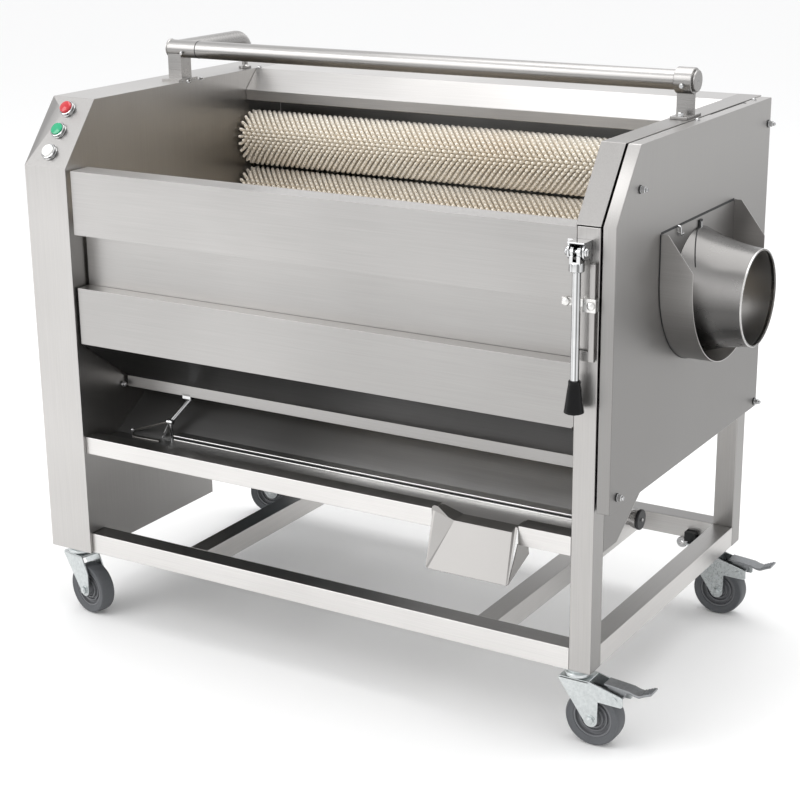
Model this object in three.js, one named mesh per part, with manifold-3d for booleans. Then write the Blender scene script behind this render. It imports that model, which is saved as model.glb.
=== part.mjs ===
// Floor-standing brush-roller potato peeler on casters.
// Millimetres, +Z up, +X to the discharge end, +Y to the back. The front posts' faces lie at y = 0
// and the floor at z = 0; the last lines move the origin to the middle of the footprint.
import * as THREE from "three";
import { mergeVertices } from "three/addons/utils/BufferGeometryUtils.js";
import Module from "manifold-3d";

const wasm = await Module();
wasm.setup();

// Driving dimensions
const HALF_SHARE = 1 / 2;
const FULL_TURN = 2 * Math.PI;
const QUARTER_TURN = Math.PI / 2;
const deg = (angle) => THREE.MathUtils.degToRad(angle);

const SHEET = 2; // stainless sheet
const SEAT = 0.3; // gap between pieces that touch
const OVERRUN = 5; // how far a cut runs past what it cuts
const WELD = 1e-3; // vertices nearer than this are one
const ARC_STEPS = 8;
const ROUND = 12; // sides of small round pieces

// The frame and its casters, from the floor up
const CASTER = {
  inset: 38, rearInset: 52, leftX: 32, trail: 32, radius: 50, width: 32, shoulder: 4, headroom: 15,
  crown: 28, crownThick: 5, head: 22, plateLong: 64, plateThick: 4, race: 24, kingpin: 6,
  kingpinLong: 12, cheek: 3, cheekGap: 1.5, axle: 6, runGap: 0.35, hub: 13, hubWide: 34, rim: 35,
  web: 9, boss: 13, nut: 9, nutLong: 5, segments: 16, notch: 36, armPast: 58, armDrop: 16,
  armTall: 19,
};
const PEDAL = {
  wide: 28, thick: 5, ahead: 43, drop: 24, pin: 4, hub: 8, back: 23, backRise: 24,
  knee: 23, kneeRise: 20, dip: 41, dipRise: 16, tip: 63, tipRise: 26,
};
const FRAME = { length: 1167, depth: 684, tube: 40, wall: 2, leftCross: 307, rightCross: 234 };
const RAIL = { size: 34, wall: 2, rise: 239 }; // the tray rail across the front

// The ends and the sheets between them
const CABINET = {
  width: 98, forward: 7, notchGap: 0.5, shaftHole: 22, serviceAhead: 152, serviceBehind: 136,
  serviceAbove: 140,
};
const LOWER = { rise: 186, tall: 108, hem: 32, apronBack: 127, apronDrop: 95, lip: 22 };
const GATE = { opening: 101, lap: 10, gap: 1.2, endGap: 1.2, armRise: 9, armTall: 16 };
const UPPER = { inset: 5, hem: 50, hemLip: 14, sillGap: 4 };
const CHAMFER = { aboveBed: 55, rise: 116, depth: 85 }; // sloped front edge of the two ends
const DECK = { edge: 84, slopeRun: 40, slopeDrop: 40, lip: 21, footRise: 53 };
const TRAY = {
  below: 3, wall: 14, floorBack: 93, creaseY: 260, creaseRise: 108, backInset: 64, backRise: 164,
  backLip: 32, endDrop: 18,
};
const SPOUT = {
  inset: 137, wide: 164, floorLeft: 41, floorRight: 10, footLeft: 16, footRight: 4, drop: 73,
  reach: 47, sheet: 1.5, rim: 5, lip: 3,
};

// The roller bed and its drive
const ROLLERS = {
  frontGap: 87, backGap: 107, trayGap: 14, pitch: 118, firstAngle: 7.5, lastAngle: -160,
  tip: 57, core: 30, shaft: 15, ridges: 16, endGap: 8, segments: 16, shaftGap: 0.35,
};
const TUFT = { rings: 13, perRing: 12, root: 3, end: 1.4, sink: 2, sides: 3, brushedRollers: 2 };
const SPROCKET = { teeth: 12, tip: 38, root: 32, width: 8, gap: 32, shaftPast: 6 };
const CHAIN = { thickness: 8, inset: 1, gap: 1 };
const BEARING = { plate: 6, radius: 32, length: 16, margin: 26 };
const MOTOR = {
  backInset: 144, rise: 188, shaft: 12, shaftSeat: 20, flange: 80, flangeThick: 10, gearbox: 62,
  gearLength: 96, body: 72, bodyLength: 210, fan: 66, fanLength: 34, box: 80, boxRise: 30,
  segments: 16,
};

// The outlet on the right end
const MOUTH = { offset: 5, rise: 129, baseRadius: 111, radius: 83, reach: 111, wall: 2, bow: 5,
  steps: 3, segments: 24, holeGap: 1 };
const COVER = {
  gap: 3.5, depth: 23, footRise: 49, backInset: 19, bolt: 5, boltReach: 9,
  frontBolt: { top: [85, 70], foot: [28, 23] }, rearBolt: { top: [11.5, 46], foot: [11.5, 11.5] },
};
const GUARD = { rise: 51, gap: 3, tall: 78, shoulder: 19, reach: 58, flange: 13, sheet: 1.5 };

// The spray pipe and its supports
const PIPE = {
  radius: 17, offset: 40, rise: 62, leftInset: 22, rightInset: 2, backInset: 94, bend: 30,
  cap: 18.5, capLong: 3, nipple: 6, nippleFoot: 13, nippleFootTall: 5, segments: 14, bendSteps: 10,
};
const LEG = { size: 32, foot: 5, footLong: 60, footBefore: 23, footAfter: 20, topDrop: 9 };
const STRAP = { inset: 20, wide: 32, thick: 6, foot: 5, footLong: 62, clamp: 5 };

// The lever, which lifts the gate, and the buttons
const LEVER = {
  inset: 28, ahead: 24, drop: 37, pin: 4, pinGap: 0.35, hub: 9, hubWide: 19, neck: 8, neckLong: 17,
  collar: 10.5, collarLong: 22, rod: 7, rodLong: 169,
};
const KNOB = { top: 9, bottom: 15, length: 52, round: 3, socket: 26 };
const EAR = { thick: 3.5, gap: 1.5, half: 14, base: 3, tail: 27, nose: 7, head: 6, headLong: 5 };
const GUIDE = { drop: 75, tall: 22, inset: 59, block: 9, gap: 0.5, cover: 2, head: 6, headLong: 5 };
const LINK = { inset: 7.5, wide: 10, thick: 4, drop: 20, ahead: 11 };
const BUTTON = {
  shares: { stop: 0.82, start: 0.51, lamp: 0.2 }, bezel: 16, bezelHeight: 9, bore: 12.4, lens: 12,
  barrel: 11, barrelLong: 30, stemBore: 9.7, stem: 9.3, stemLong: 22, seat: 0.6, lensFoot: 5.4,
  lensTop: 12.5, dome: 4, panelHole: 11.3, segments: 12, lampTop: 15,
};
const DOME = { shoulderShare: 0.85, shoulderDropShare: 0.45, crownShare: 0.5, crownDropShare: 0.12 };

// Heights, each from the one below it
const crownFoot = CASTER.radius + CASTER.radius + CASTER.headroom;
const crownTop = crownFoot + CASTER.crownThick;
const frameFoot = crownTop + CASTER.head;
const frameTop = frameFoot + FRAME.tube;
const railTop = frameFoot + RAIL.rise;
const railFoot = railTop - RAIL.size;
const lowerFoot = railTop + LOWER.rise;
const lowerTop = lowerFoot + LOWER.tall;
const apronFoot = lowerFoot - LOWER.apronDrop;
const trayWallTop = railTop - TRAY.below;
const trayFloor = trayWallTop - TRAY.wall;
const trayCrease = trayFloor + TRAY.creaseRise;
const trayBack = trayFloor + TRAY.backRise;
const bedRadius = (FRAME.depth - ROLLERS.frontGap - ROLLERS.backGap) * HALF_SHARE;
const bedFoot = trayBack + ROLLERS.trayGap + ROLLERS.tip; // the lowest point of the shafts' arc
const bedZ = bedFoot + bedRadius;
const sill = bedZ + CHAMFER.aboveBed; // where the sloped front edge starts
const top = sill + CHAMFER.rise;
const upperFoot = lowerTop + GATE.opening;
const upperTop = sill - UPPER.sillGap;

// Places that several pieces share
const innerRight = FRAME.length - FRAME.tube; // left face of the right-hand posts
const webX = innerRight - SEAT - SHEET; // left face of the right end wall's web
const panelLeft = CABINET.width + UPPER.inset;
const gateY = LOWER.hem + GATE.gap;
const trayFront = RAIL.size + SEAT;
const trayBackY = FRAME.depth - TRAY.backInset;
const holeRight = FRAME.length - SPOUT.inset; // right edge of the gap in the tray rail
const holeLeft = holeRight - SPOUT.wide;
const linkX = FRAME.length - LINK.inset;
const linkY = -LINK.ahead;
const leverX = FRAME.length - LEVER.inset;
const leverY = -LEVER.ahead;
const pivotZ = sill - LEVER.drop;
const linkTop = pivotZ - LINK.drop;
const armFoot = lowerTop + GATE.armRise;
const armTop = armFoot + GATE.armTall;
const motorY = FRAME.depth - MOTOR.backInset;
const motorZ = frameFoot + MOTOR.rise;
const plateX = CABINET.width - SHEET - BEARING.plate; // left face of the bearing plate
const sprocketRight = plateX - SPROCKET.gap;
const sprocketLeft = sprocketRight - SPROCKET.width;
const shaftLeft = sprocketLeft - SPROCKET.shaftPast;
const chamferAngle = Math.atan2(CHAMFER.rise, CHAMFER.depth + CABINET.forward);

// The rollers lie side by side along an arc, from the back down and round to the front
const bedY = ROLLERS.frontGap + bedRadius;
const rollerStep = Math.asin((ROLLERS.pitch * HALF_SHARE) / bedRadius) / HALF_SHARE;
const bedSpan = deg(ROLLERS.firstAngle - ROLLERS.lastAngle);
const rollerIndices = [...Array(Math.ceil(bedSpan / rollerStep)).keys()];
const rollerAngle = (i) => deg(ROLLERS.firstAngle) - i * rollerStep;
const rollerCentre = (i) => [
  bedY + bedRadius * Math.cos(rollerAngle(i)),
  bedZ + bedRadius * Math.sin(rollerAngle(i)),
];
const mouthY = bedY + MOUTH.offset;
const mouthZ = bedFoot + MOUTH.rise;

// Small geometry kit

// A box between two corners.
function block(x0, x1, y0, y1, z0, z1) {
  return new THREE.BoxGeometry(x1 - x0, y1 - y0, z1 - z0).translate(
    (x0 + x1) * HALF_SHARE, (y0 + y1) * HALF_SHARE, (z0 + z1) * HALF_SHARE,
  );
}

// A closed outline in the plane of two axes, drawn out along the third.
const asShape = (outline) => (outline instanceof THREE.Shape ? outline
  : new THREE.Shape(outline.map(([u, v]) => new THREE.Vector2(u, v))));

function drawn(shape, length, curveSegments = ARC_STEPS) {
  return new THREE.ExtrudeGeometry(shape, { depth: length, bevelEnabled: false, curveSegments });
}

const toYZ = new THREE.Matrix4().makeBasis(
  new THREE.Vector3(0, 1, 0), new THREE.Vector3(0, 0, 1), new THREE.Vector3(1, 0, 0),
);
const toXZ = new THREE.Matrix4().makeBasis(
  new THREE.Vector3(1, 0, 0), new THREE.Vector3(0, 0, 1), new THREE.Vector3(0, -1, 0),
);

// Outline points are [y, z]; the solid runs from x0 to x1.
function alongX(outline, x0, x1) {
  const shape = asShape(outline);
  return drawn(shape, x1 - x0).applyMatrix4(toYZ).translate(x0, 0, 0);
}

// Outline points are [x, z]; the solid runs from y0 to y1.
function alongY(outline, y0, y1) {
  const shape = asShape(outline);
  return drawn(shape, y1 - y0).applyMatrix4(toXZ).translate(0, y1, 0);
}

// Outline points are [x, y]; the solid runs from z0 to z1.
function alongZ(outline, z0, z1) {
  const shape = asShape(outline);
  return drawn(shape, z1 - z0).translate(0, 0, z0);
}

// A turned piece: profile points are [radius, height]; its axis is +Z before it is placed.
function turned(profile, segments) {
  const points = profile.map(([r, h]) => new THREE.Vector2(r, h));
  if (THREE.ShapeUtils.area(points) < 0) points.reverse();
  return new THREE.LatheGeometry(points, segments).rotateX(QUARTER_TURN);
}

const rod = (radius, z0, z1, segments) =>
  turned([[0, z0], [radius, z0], [radius, z1], [0, z1]], segments);

const lyingX = (geometry) => geometry.rotateY(QUARTER_TURN);
const lyingY = (geometry) => geometry.rotateX(-QUARTER_TURN);

// manifold-3d solids, for cuts and joins only.
function solid(geometry) {
  const bare = geometry.index ? geometry.toNonIndexed() : geometry.clone();
  for (const name of Object.keys(bare.attributes)) if (name !== "position") bare.deleteAttribute(name);
  const merged = mergeVertices(bare, WELD);
  return new wasm.Manifold(new wasm.Mesh({
    numProp: 3,
    vertProperties: merged.attributes.position.array,
    triVerts: new Uint32Array(merged.index.array),
  }));
}

function geometryOf(made) {
  const mesh = made.getMesh();
  const geometry = new THREE.BufferGeometry();
  geometry.setAttribute("position", new THREE.BufferAttribute(mesh.vertProperties, 3));
  geometry.setIndex(new THREE.BufferAttribute(mesh.triVerts, 1));
  geometry.computeVertexNormals();
  return geometry;
}

const joined = (...parts) => geometryOf(parts.map(solid).reduce((a, b) => a.add(b)));
const cut = (body, ...tools) => geometryOf(tools.map(solid).reduce((a, b) => a.subtract(b), solid(body)));

// A bent sheet: the outline of a folded strip, offset by its thickness towards the given side.
function sheetOutline(path, thickness) {
  const back = path.map((point, i) => {
    const before = path[Math.max(i - 1, 0)];
    const after = path[Math.min(i + 1, path.length - 1)];
    const unit = (a, b) => {
      const length = Math.hypot(b[0] - a[0], b[1] - a[1]);
      return [(b[0] - a[0]) / length, (b[1] - a[1]) / length];
    };
    const into = i ? unit(before, point) : unit(point, after);
    const out = i < path.length - 1 ? unit(point, after) : into;
    const normalIn = [-into[1], into[0]];
    const normalOut = [-out[1], out[0]];
    const mitre = 1 + normalIn[0] * normalOut[0] + normalIn[1] * normalOut[1];
    return [
      point[0] + (thickness * (normalIn[0] + normalOut[0])) / mitre,
      point[1] + (thickness * (normalIn[1] + normalOut[1])) / mitre,
    ];
  });
  const ring = [...path, ...back.reverse()];
  return THREE.ShapeUtils.area(ring.map(([x, y]) => new THREE.Vector2(x, y))) < 0
    ? ring.reverse() : ring;
}

// An open-ended square tube along one axis.
function tube(draw, size, wall, u0, v0, w0, w1) {
  const square = (inset) => [
    [u0 + inset, v0 + inset], [u0 + size - inset, v0 + inset],
    [u0 + size - inset, v0 + size - inset], [u0 + inset, v0 + size - inset],
  ];
  const shape = asShape(square(0));
  shape.holes.push(new THREE.Path(square(wall).map(([u, v]) => new THREE.Vector2(u, v))));
  return draw(shape, w0, w1);
}

// Finishes
const finish = (color, roughness, metalness) =>
  new THREE.MeshStandardMaterial({ color, roughness, metalness });
const steel = finish("#c3bfba", 0.38, 0.9);
const darkSteel = finish("#8d8a86", 0.42, 0.9);
const zinc = finish("#b9bfc2", 0.3, 0.95);
const chrome = finish("#dcdddd", 0.12, 1);
const nylon = finish("#d9d0c0", 0.6, 0);
const tyreGrey = finish("#6e6e70", 0.75, 0);
const black = finish("#141414", 0.25, 0);
const red = finish("#c8323a", 0.25, 0);
const green = finish("#1faf84", 0.25, 0);
const white = finish("#f2f2f0", 0.2, 0);
const paint = finish("#4c5a63", 0.5, 0.2);
const pedalGrey = finish("#55585b", 0.6, 0);

const machine = new THREE.Group();

function add(name, geometry, material, parent = machine) {
  const mesh = new THREE.Mesh(geometry, material);
  mesh.name = name;
  parent.add(mesh);
  return mesh;
}

// Frame: square tubes, welded
function frame() {
  const { length, depth, tube: size, wall, leftCross, rightCross } = FRAME;
  const back = depth - size;
  const railLeft = SHEET + SEAT;
  add("post_front_right", tube(alongZ, size, wall, innerRight, 0, frameFoot, sill - SHEET), steel);
  add("post_rear_right",
    tube(alongZ, size, wall, innerRight, back, frameFoot, top - SHEET - SEAT), steel);
  add("base_rail_front", tube(alongX, size, wall, 0, frameFoot, railLeft, innerRight), steel);
  add("base_rail_rear", tube(alongX, size, wall, back, frameFoot, railLeft, innerRight), steel);
  add("base_rail_right", tube(alongY, size, wall, innerRight, frameFoot, size, back), steel);
  add("base_rail_left", tube(alongY, size, wall, railLeft, frameFoot, size, back), steel);
  add("cross_rail_left", tube(alongY, size, wall, leftCross, frameFoot, size, back), steel);
  add("cross_rail_right",
    tube(alongY, size, wall, length - rightCross, frameFoot, size, back), steel);
  add("tray_rail_left",
    tube(alongX, RAIL.size, RAIL.wall, 0, railFoot, CABINET.width, holeLeft), steel);
  add("tray_rail_right",
    tube(alongX, RAIL.size, RAIL.wall, 0, railFoot, holeRight, innerRight), steel);
}

// Side outline of the left cabinet, set in by a wall
const cabinetBack = FRAME.depth + SHEET + SEAT; // behind the base rail

function cabinetOutline(inset, foot) {
  const front = -CABINET.forward + inset;
  const slope = Math.tan(chamferAngle);
  const lift = inset / Math.cos(chamferAngle); // the sloped face moves in square to itself
  const footZ = sill - lift + inset * slope;
  const topZ = top - inset;
  const topY = front + (topZ - footZ) / slope;
  return [[front, foot], [cabinetBack - inset, foot], [cabinetBack - inset, topZ], [topY, topZ],
    [front, footZ]];
}

// A point on the sloped control face, at a share of its length, and the face's own axes
function onChamfer(share) {
  const y = -CABINET.forward + share * (CHAMFER.depth + CABINET.forward);
  const z = sill + share * CHAMFER.rise;
  return new THREE.Vector3(CABINET.width * HALF_SHARE, y, z);
}

function facingOut(geometry, share) {
  const at = onChamfer(share);
  return geometry.rotateX(chamferAngle).translate(at.x, at.y, at.z);
}

function cabinet() {
  const { width, notchGap } = CABINET;
  const outer = alongX(cabinetOutline(0, frameFoot), 0, width);
  const inner = alongX(cabinetOutline(SHEET, frameFoot - OVERRUN), SHEET, width - SHEET);
  const wallX = width - SHEET - OVERRUN;
  const past = width + OVERRUN;
  const service = block(wallX, past, motorY - CABINET.serviceAhead, motorY + CABINET.serviceBehind,
    frameFoot - OVERRUN, motorZ + CABINET.serviceAbove);
  const railNotch = block(wallX, past, -notchGap, FRAME.tube + notchGap,
    frameFoot - OVERRUN, frameTop + notchGap);
  const rearNotch = block(wallX, past, FRAME.depth - FRAME.tube - notchGap,
    FRAME.depth + SEAT, frameFoot - OVERRUN, frameTop + notchGap);
  const shaftHoles = rollerIndices.map((i) =>
    lyingX(rod(CABINET.shaftHole, wallX, past, ROUND)).translate(0, ...rollerCentre(i)));
  const buttonHoles = Object.values(BUTTON.shares).map((share) =>
    facingOut(rod(BUTTON.panelHole, -SHEET - OVERRUN, OVERRUN, BUTTON.segments), share));
  add("cabinet_shell",
    cut(outer, inner, service, railNotch, rearNotch, ...shaftHoles, ...buttonHoles), steel);
}

// Control buttons: a bezel through the panel, and a lens on a stem that slides in it
function bezelProfile() {
  const b = BUTTON;
  return [[b.bore, b.bezelHeight], [b.bore, b.seat], [b.stemBore, b.seat], [b.stemBore, -b.barrelLong],
    [b.barrel, -b.barrelLong], [b.barrel, SEAT], [b.bezel, SEAT], [b.bezel, b.bezelHeight],
    [b.bore, b.bezelHeight]];
}

function lensProfile(top, dome) {
  const b = BUTTON;
  return [[0, -b.stemLong], [b.stem, -b.stemLong], [b.stem, b.lensFoot], [b.lens, b.lensFoot],
    [b.lens, top - dome], [b.lens * DOME.shoulderShare, top - dome * DOME.shoulderDropShare],
    [b.lens * DOME.crownShare, top - dome * DOME.crownDropShare], [0, top]];
}

function buttons() {
  const { stop, start, lamp } = BUTTON.shares;
  for (const [name, share, top, dome, material] of [
    ["stop", stop, BUTTON.lampTop, BUTTON.dome, red],
    ["start", start, BUTTON.lensTop, BUTTON.dome * HALF_SHARE, green],
  ]) {
    add(name + "_bezel", facingOut(turned(bezelProfile(), BUTTON.segments), share), chrome);
    add(name + "_button", facingOut(turned(lensProfile(top, dome), BUTTON.segments), share), material);
  }
  const glow = joined(
    turned(bezelProfile(), BUTTON.segments),
    turned([[0, -BUTTON.stemLong], [BUTTON.barrel - SEAT, -BUTTON.stemLong], [BUTTON.barrel - SEAT, 0],
      [BUTTON.lens + SEAT + SEAT, BUTTON.seat], [BUTTON.lens + SEAT + SEAT, BUTTON.lampTop - BUTTON.dome],
      [BUTTON.lens * DOME.crownShare, BUTTON.lampTop - BUTTON.dome * DOME.crownDropShare],
      [0, BUTTON.lampTop]], BUTTON.segments),
  );
  add("pilot_lamp", facingOut(glow, lamp), white);
}

// Front panels and the discharge gate between them
function frontPanels() {
  const upper = sheetOutline([
    [UPPER.hem, upperTop - UPPER.hemLip], [UPPER.hem, upperTop], [0, upperTop], [0, upperFoot],
  ], SHEET);
  add("upper_front_panel", alongX(upper, panelLeft, innerRight), steel);

  const lower = sheetOutline([
    [LOWER.hem, lowerTop], [0, lowerTop], [0, lowerFoot], [LOWER.apronBack, apronFoot],
    [LOWER.apronBack, apronFoot - LOWER.lip],
  ], SHEET);
  const toe = block(webX - SEAT - SHEET, innerRight, 0, SHEET, lowerFoot + SHEET, lowerTop);
  add("lower_front_panel", joined(alongX(lower, panelLeft, webX - SEAT), toe), steel);
}

// The gate slides up behind the upper panel; an arm at its right end reaches round to the link
function gate() {
  const right = innerRight - GATE.endGap;
  const half = LINK.wide * HALF_SHARE;
  const tailY = linkY + LINK.thick + SEAT;
  const panel = block(panelLeft, right, gateY, gateY + SHEET,
    lowerTop - GATE.lap, upperFoot + GATE.lap);
  const arm = block(right - SHEET, right, tailY, gateY + SHEET, armFoot, armTop);
  const tail = block(right - SHEET, linkX + half, tailY, tailY + SHEET, armFoot, armTop);
  add("discharge_gate", joined(panel, arm, tail), steel);
  add("gate_link", block(linkX - half, linkX + half, linkY, linkY + LINK.thick, armFoot, linkTop),
    steel);
}

// Deflector, top deck and rear wall, folded from one sheet
function rearWall() {
  const edgeY = FRAME.depth - DECK.edge;
  const lipY = edgeY - DECK.slopeRun;
  const bend = top - DECK.slopeDrop;
  const path = [[FRAME.depth, railTop + DECK.footRise], [FRAME.depth, top], [edgeY, top],
    [lipY, bend], [lipY, bend - DECK.lip]];
  add("rear_wall", alongX(sheetOutline(path, SHEET), CABINET.width + SEAT, webX - SEAT), steel);
}

// Product outlet: the round way through the end wall and the cover
function outletHole(x0, x1) {
  const radius = MOUTH.radius + MOUTH.holeGap;
  return lyingX(rod(radius, x0, x1, MOUTH.segments)).translate(0, mouthY, mouthZ);
}

// Right end wall: the web, its top and bottom flanges, and the bearing housings
const endFoot = trayFloor - TRAY.endDrop;
const endFootPath = [
  [FRAME.tube + SEAT, endFoot], [TRAY.floorBack, endFoot],
  [TRAY.creaseY, trayCrease - TRAY.endDrop], [trayBackY, trayBack - TRAY.endDrop],
];

function rightEndWall() {
  const behindGate = gateY + SHEET + SHEET;
  const behindHem = UPPER.hem + SHEET;
  const web = alongX([
    [behindGate, railTop + SHEET], [FRAME.tube + SEAT, railTop + SHEET], ...endFootPath,
    [FRAME.depth, trayBack - TRAY.endDrop], [FRAME.depth, top], [CHAMFER.depth, top], [0, sill],
    [0, upperTop + SEAT], [behindHem, upperTop + SEAT], [behindHem, lowerTop],
    [behindGate, lowerTop],
  ], webX, webX + SHEET);
  const upper = alongX(sheetOutline([[FRAME.depth, top], [CHAMFER.depth, top], [0, sill]], SHEET),
    webX, FRAME.length);
  const lower = alongX(sheetOutline(endFootPath, SHEET), webX, FRAME.length);
  const housings = rollerIndices.map((i) => lyingX(
    rod(BEARING.radius, webX, webX + SHEET + BEARING.length, ROUND),
  ).translate(0, ...rollerCentre(i)));
  const bores = rollerIndices.map((i) => lyingX(
    rod(ROLLERS.shaft + ROLLERS.shaftGap, webX - OVERRUN, FRAME.length, ROLLERS.segments),
  ).translate(0, ...rollerCentre(i)));
  const outlet = outletHole(webX - OVERRUN, FRAME.length);
  add("right_end_wall", cut(joined(web, upper, lower, ...housings), outlet, ...bores), steel);
}

// Peel tray: a gutter along the front with a sloped back
function peelTray() {
  const path = [[trayFront, trayWallTop], [trayFront, trayFloor], [TRAY.floorBack, trayFloor],
    [TRAY.creaseY, trayCrease], [trayBackY, trayBack], [trayBackY, trayBack + TRAY.backLip]];
  const body = alongX(sheetOutline(path, SHEET), CABINET.width + SEAT, webX - SEAT);
  const mouth = block(holeLeft, holeRight, trayFront - OVERRUN, trayFront + SHEET + SEAT,
    trayFloor + SHEET + SEAT, trayWallTop + OVERRUN);
  add("peel_tray", cut(body, mouth), darkSteel);
}

// A skin through rings of points, closed at both ends; each ring runs the same way round
function lofted(rings) {
  const positions = rings.flat(2);
  const count = rings[0].length;
  const flat = rings[0].map(([x, , z]) => new THREE.Vector2(x, z));
  const cap = THREE.ShapeUtils.triangulateShape(flat, []);
  const last = (rings.length - 1) * count;
  const index = cap.flatMap(([a, b, c]) => [a, b, c, last + c, last + b, last + a]);
  for (let r = 0; r + 1 < rings.length; r++)
    for (let i = 0; i < count; i++) {
      const a = r * count + i;
      const b = r * count + ((i + 1) % count);
      index.push(a, a + count, b, b, a + count, b + count);
    }
  const geometry = new THREE.BufferGeometry();
  geometry.setAttribute("position", new THREE.Float32BufferAttribute(positions, 3));
  geometry.setIndex(index);
  return geometry;
}

// Drain spout: a splayed scoop that hangs through the gap in the tray rail
function drainSpout() {
  const s = SPOUT;
  const channel = (y, left, right, top, floorLeft, floorRight, floor, rim) => [
    [left, y, top], [floorLeft, y, floor], [floorRight, y, floor], [right, y, top],
    [right - rim, y, top], [floorRight - s.sheet, y, floor + s.sheet],
    [floorLeft + s.sheet, y, floor + s.sheet], [left + rim, y, top],
  ];
  const ring = (y) => channel(y, holeLeft + SEAT, holeRight - SEAT, trayWallTop,
    holeLeft + s.floorLeft, holeRight - s.floorRight, trayFloor + SHEET, s.rim);
  const footLeft = holeLeft + s.footLeft;
  const footRight = holeRight + s.footRight;
  const footZ = trayFloor - s.drop;
  const foot = channel(-s.reach, footLeft - s.lip, footRight + s.lip, footZ + s.sheet + s.lip,
    footLeft, footRight, footZ, s.sheet);
  add("drain_spout", lofted([foot, ring(0), ring(trayFront - SEAT)]), steel);
}

// Side cover: a pan over the bearings, with the outlet's U-shaped guard and the bolts on it
const coverInner = FRAME.length + COVER.gap;
const coverOuter = coverInner + COVER.depth;
const coverFoot = railTop + COVER.footRise;
const coverBack = FRAME.depth - COVER.backInset;
const guardZ = mouthZ + GUARD.rise;
const guardRadius = GUARD.rise + MOUTH.baseRadius + GUARD.gap;

function guardOutline(radius, rim) {
  const shape = new THREE.Shape();
  shape.moveTo(mouthY - radius, rim);
  shape.lineTo(mouthY - radius, guardZ);
  shape.absarc(mouthY, guardZ, radius, Math.PI, FULL_TURN, false);
  shape.lineTo(mouthY + radius, rim);
  shape.closePath();
  return shape;
}

function coverOutline(inset) {
  const slope = CHAMFER.rise / CHAMFER.depth;
  const bendZ = sill - inset * Math.hypot(1, slope) + inset * slope;
  const rimZ = top - inset;
  return [[inset, coverFoot + inset], [coverBack - inset, coverFoot + inset],
    [coverBack - inset, rimZ], [inset + (rimZ - bendZ) / slope, rimZ], [inset, bendZ]];
}

function coverBolts() {
  const { frontBolt, rearBolt, bolt, boltReach } = COVER;
  const places = [
    [frontBolt.top[0], top - frontBolt.top[1]], [frontBolt.foot[0], coverFoot + frontBolt.foot[1]],
    [coverBack - rearBolt.top[0], top - rearBolt.top[1]],
    [coverBack - rearBolt.foot[0], coverFoot + rearBolt.foot[1]],
  ];
  return places.map((at) =>
    lyingX(rod(bolt, FRAME.length, coverOuter + boltReach, ROUND)).translate(0, ...at));
}

function sideCover() {
  const pan = alongX(coverOutline(0), coverInner, coverOuter);
  const hollow = alongX(coverOutline(SHEET), coverInner - OVERRUN, coverOuter - SHEET);
  const guardEnd = coverOuter + GUARD.reach;
  const rim = guardZ + GUARD.tall;
  const shoulder = guardZ + GUARD.shoulder;
  const flange = coverOuter + GUARD.flange;
  const guard = alongX(guardOutline(guardRadius, rim), coverOuter - SHEET, guardEnd);
  const inside = alongX(guardOutline(guardRadius - GUARD.sheet, rim + OVERRUN),
    coverOuter, guardEnd + OVERRUN);
  const rake = alongY([[flange, rim], [guardEnd, shoulder], [guardEnd + OVERRUN, shoulder],
    [guardEnd + OVERRUN, rim + OVERRUN], [flange, rim + OVERRUN]],
  mouthY - guardRadius - OVERRUN, mouthY + guardRadius + OVERRUN);
  const outlet = outletHole(coverInner - OVERRUN, coverOuter + OVERRUN);
  const shell = cut(pan, hollow);
  const shield = cut(guard, inside, rake);
  add("side_cover", cut(joined(shell, shield, ...coverBolts()), outlet), darkSteel);
}

// Discharge spout: a sleeve through the cover that opens into a bell-shaped reducer
function dischargeSpout() {
  const m = MOUTH;
  const baseX = coverOuter + SEAT;
  const sleeveFoot = webX + SHEET + SEAT - baseX;
  const shares = [...Array(m.steps + 1).keys()].map((i) => i / m.steps);
  const outer = shares.map((t) => [
    m.baseRadius + (m.radius - m.baseRadius) * t - m.bow * Math.sin(Math.PI * t), m.reach * t,
  ]);
  const inner = outer.slice(1).map(([r, h]) => [r - m.wall, h]).reverse();
  const bore = m.radius - m.wall;
  const profile = [[bore, sleeveFoot], [m.radius, sleeveFoot], [m.radius, 0], ...outer, ...inner,
    [m.baseRadius - m.wall, m.wall], [bore, m.wall]];
  const bell = turned([...profile, profile[0]], m.segments);
  add("discharge_spout", lyingX(bell).translate(baseX, mouthY, mouthZ), steel);
}

// Spray pipe over the rollers: the run, its capped ends, and the supply end that turns down
const pipeY = bedY + PIPE.offset;
const pipeZ = top + PIPE.rise;
const pipeLeft = CABINET.width - PIPE.leftInset;
const aroundPipe = (radius, x0, x1) =>
  lyingX(rod(radius, x0, x1, PIPE.segments)).translate(0, pipeY, pipeZ);

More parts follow.
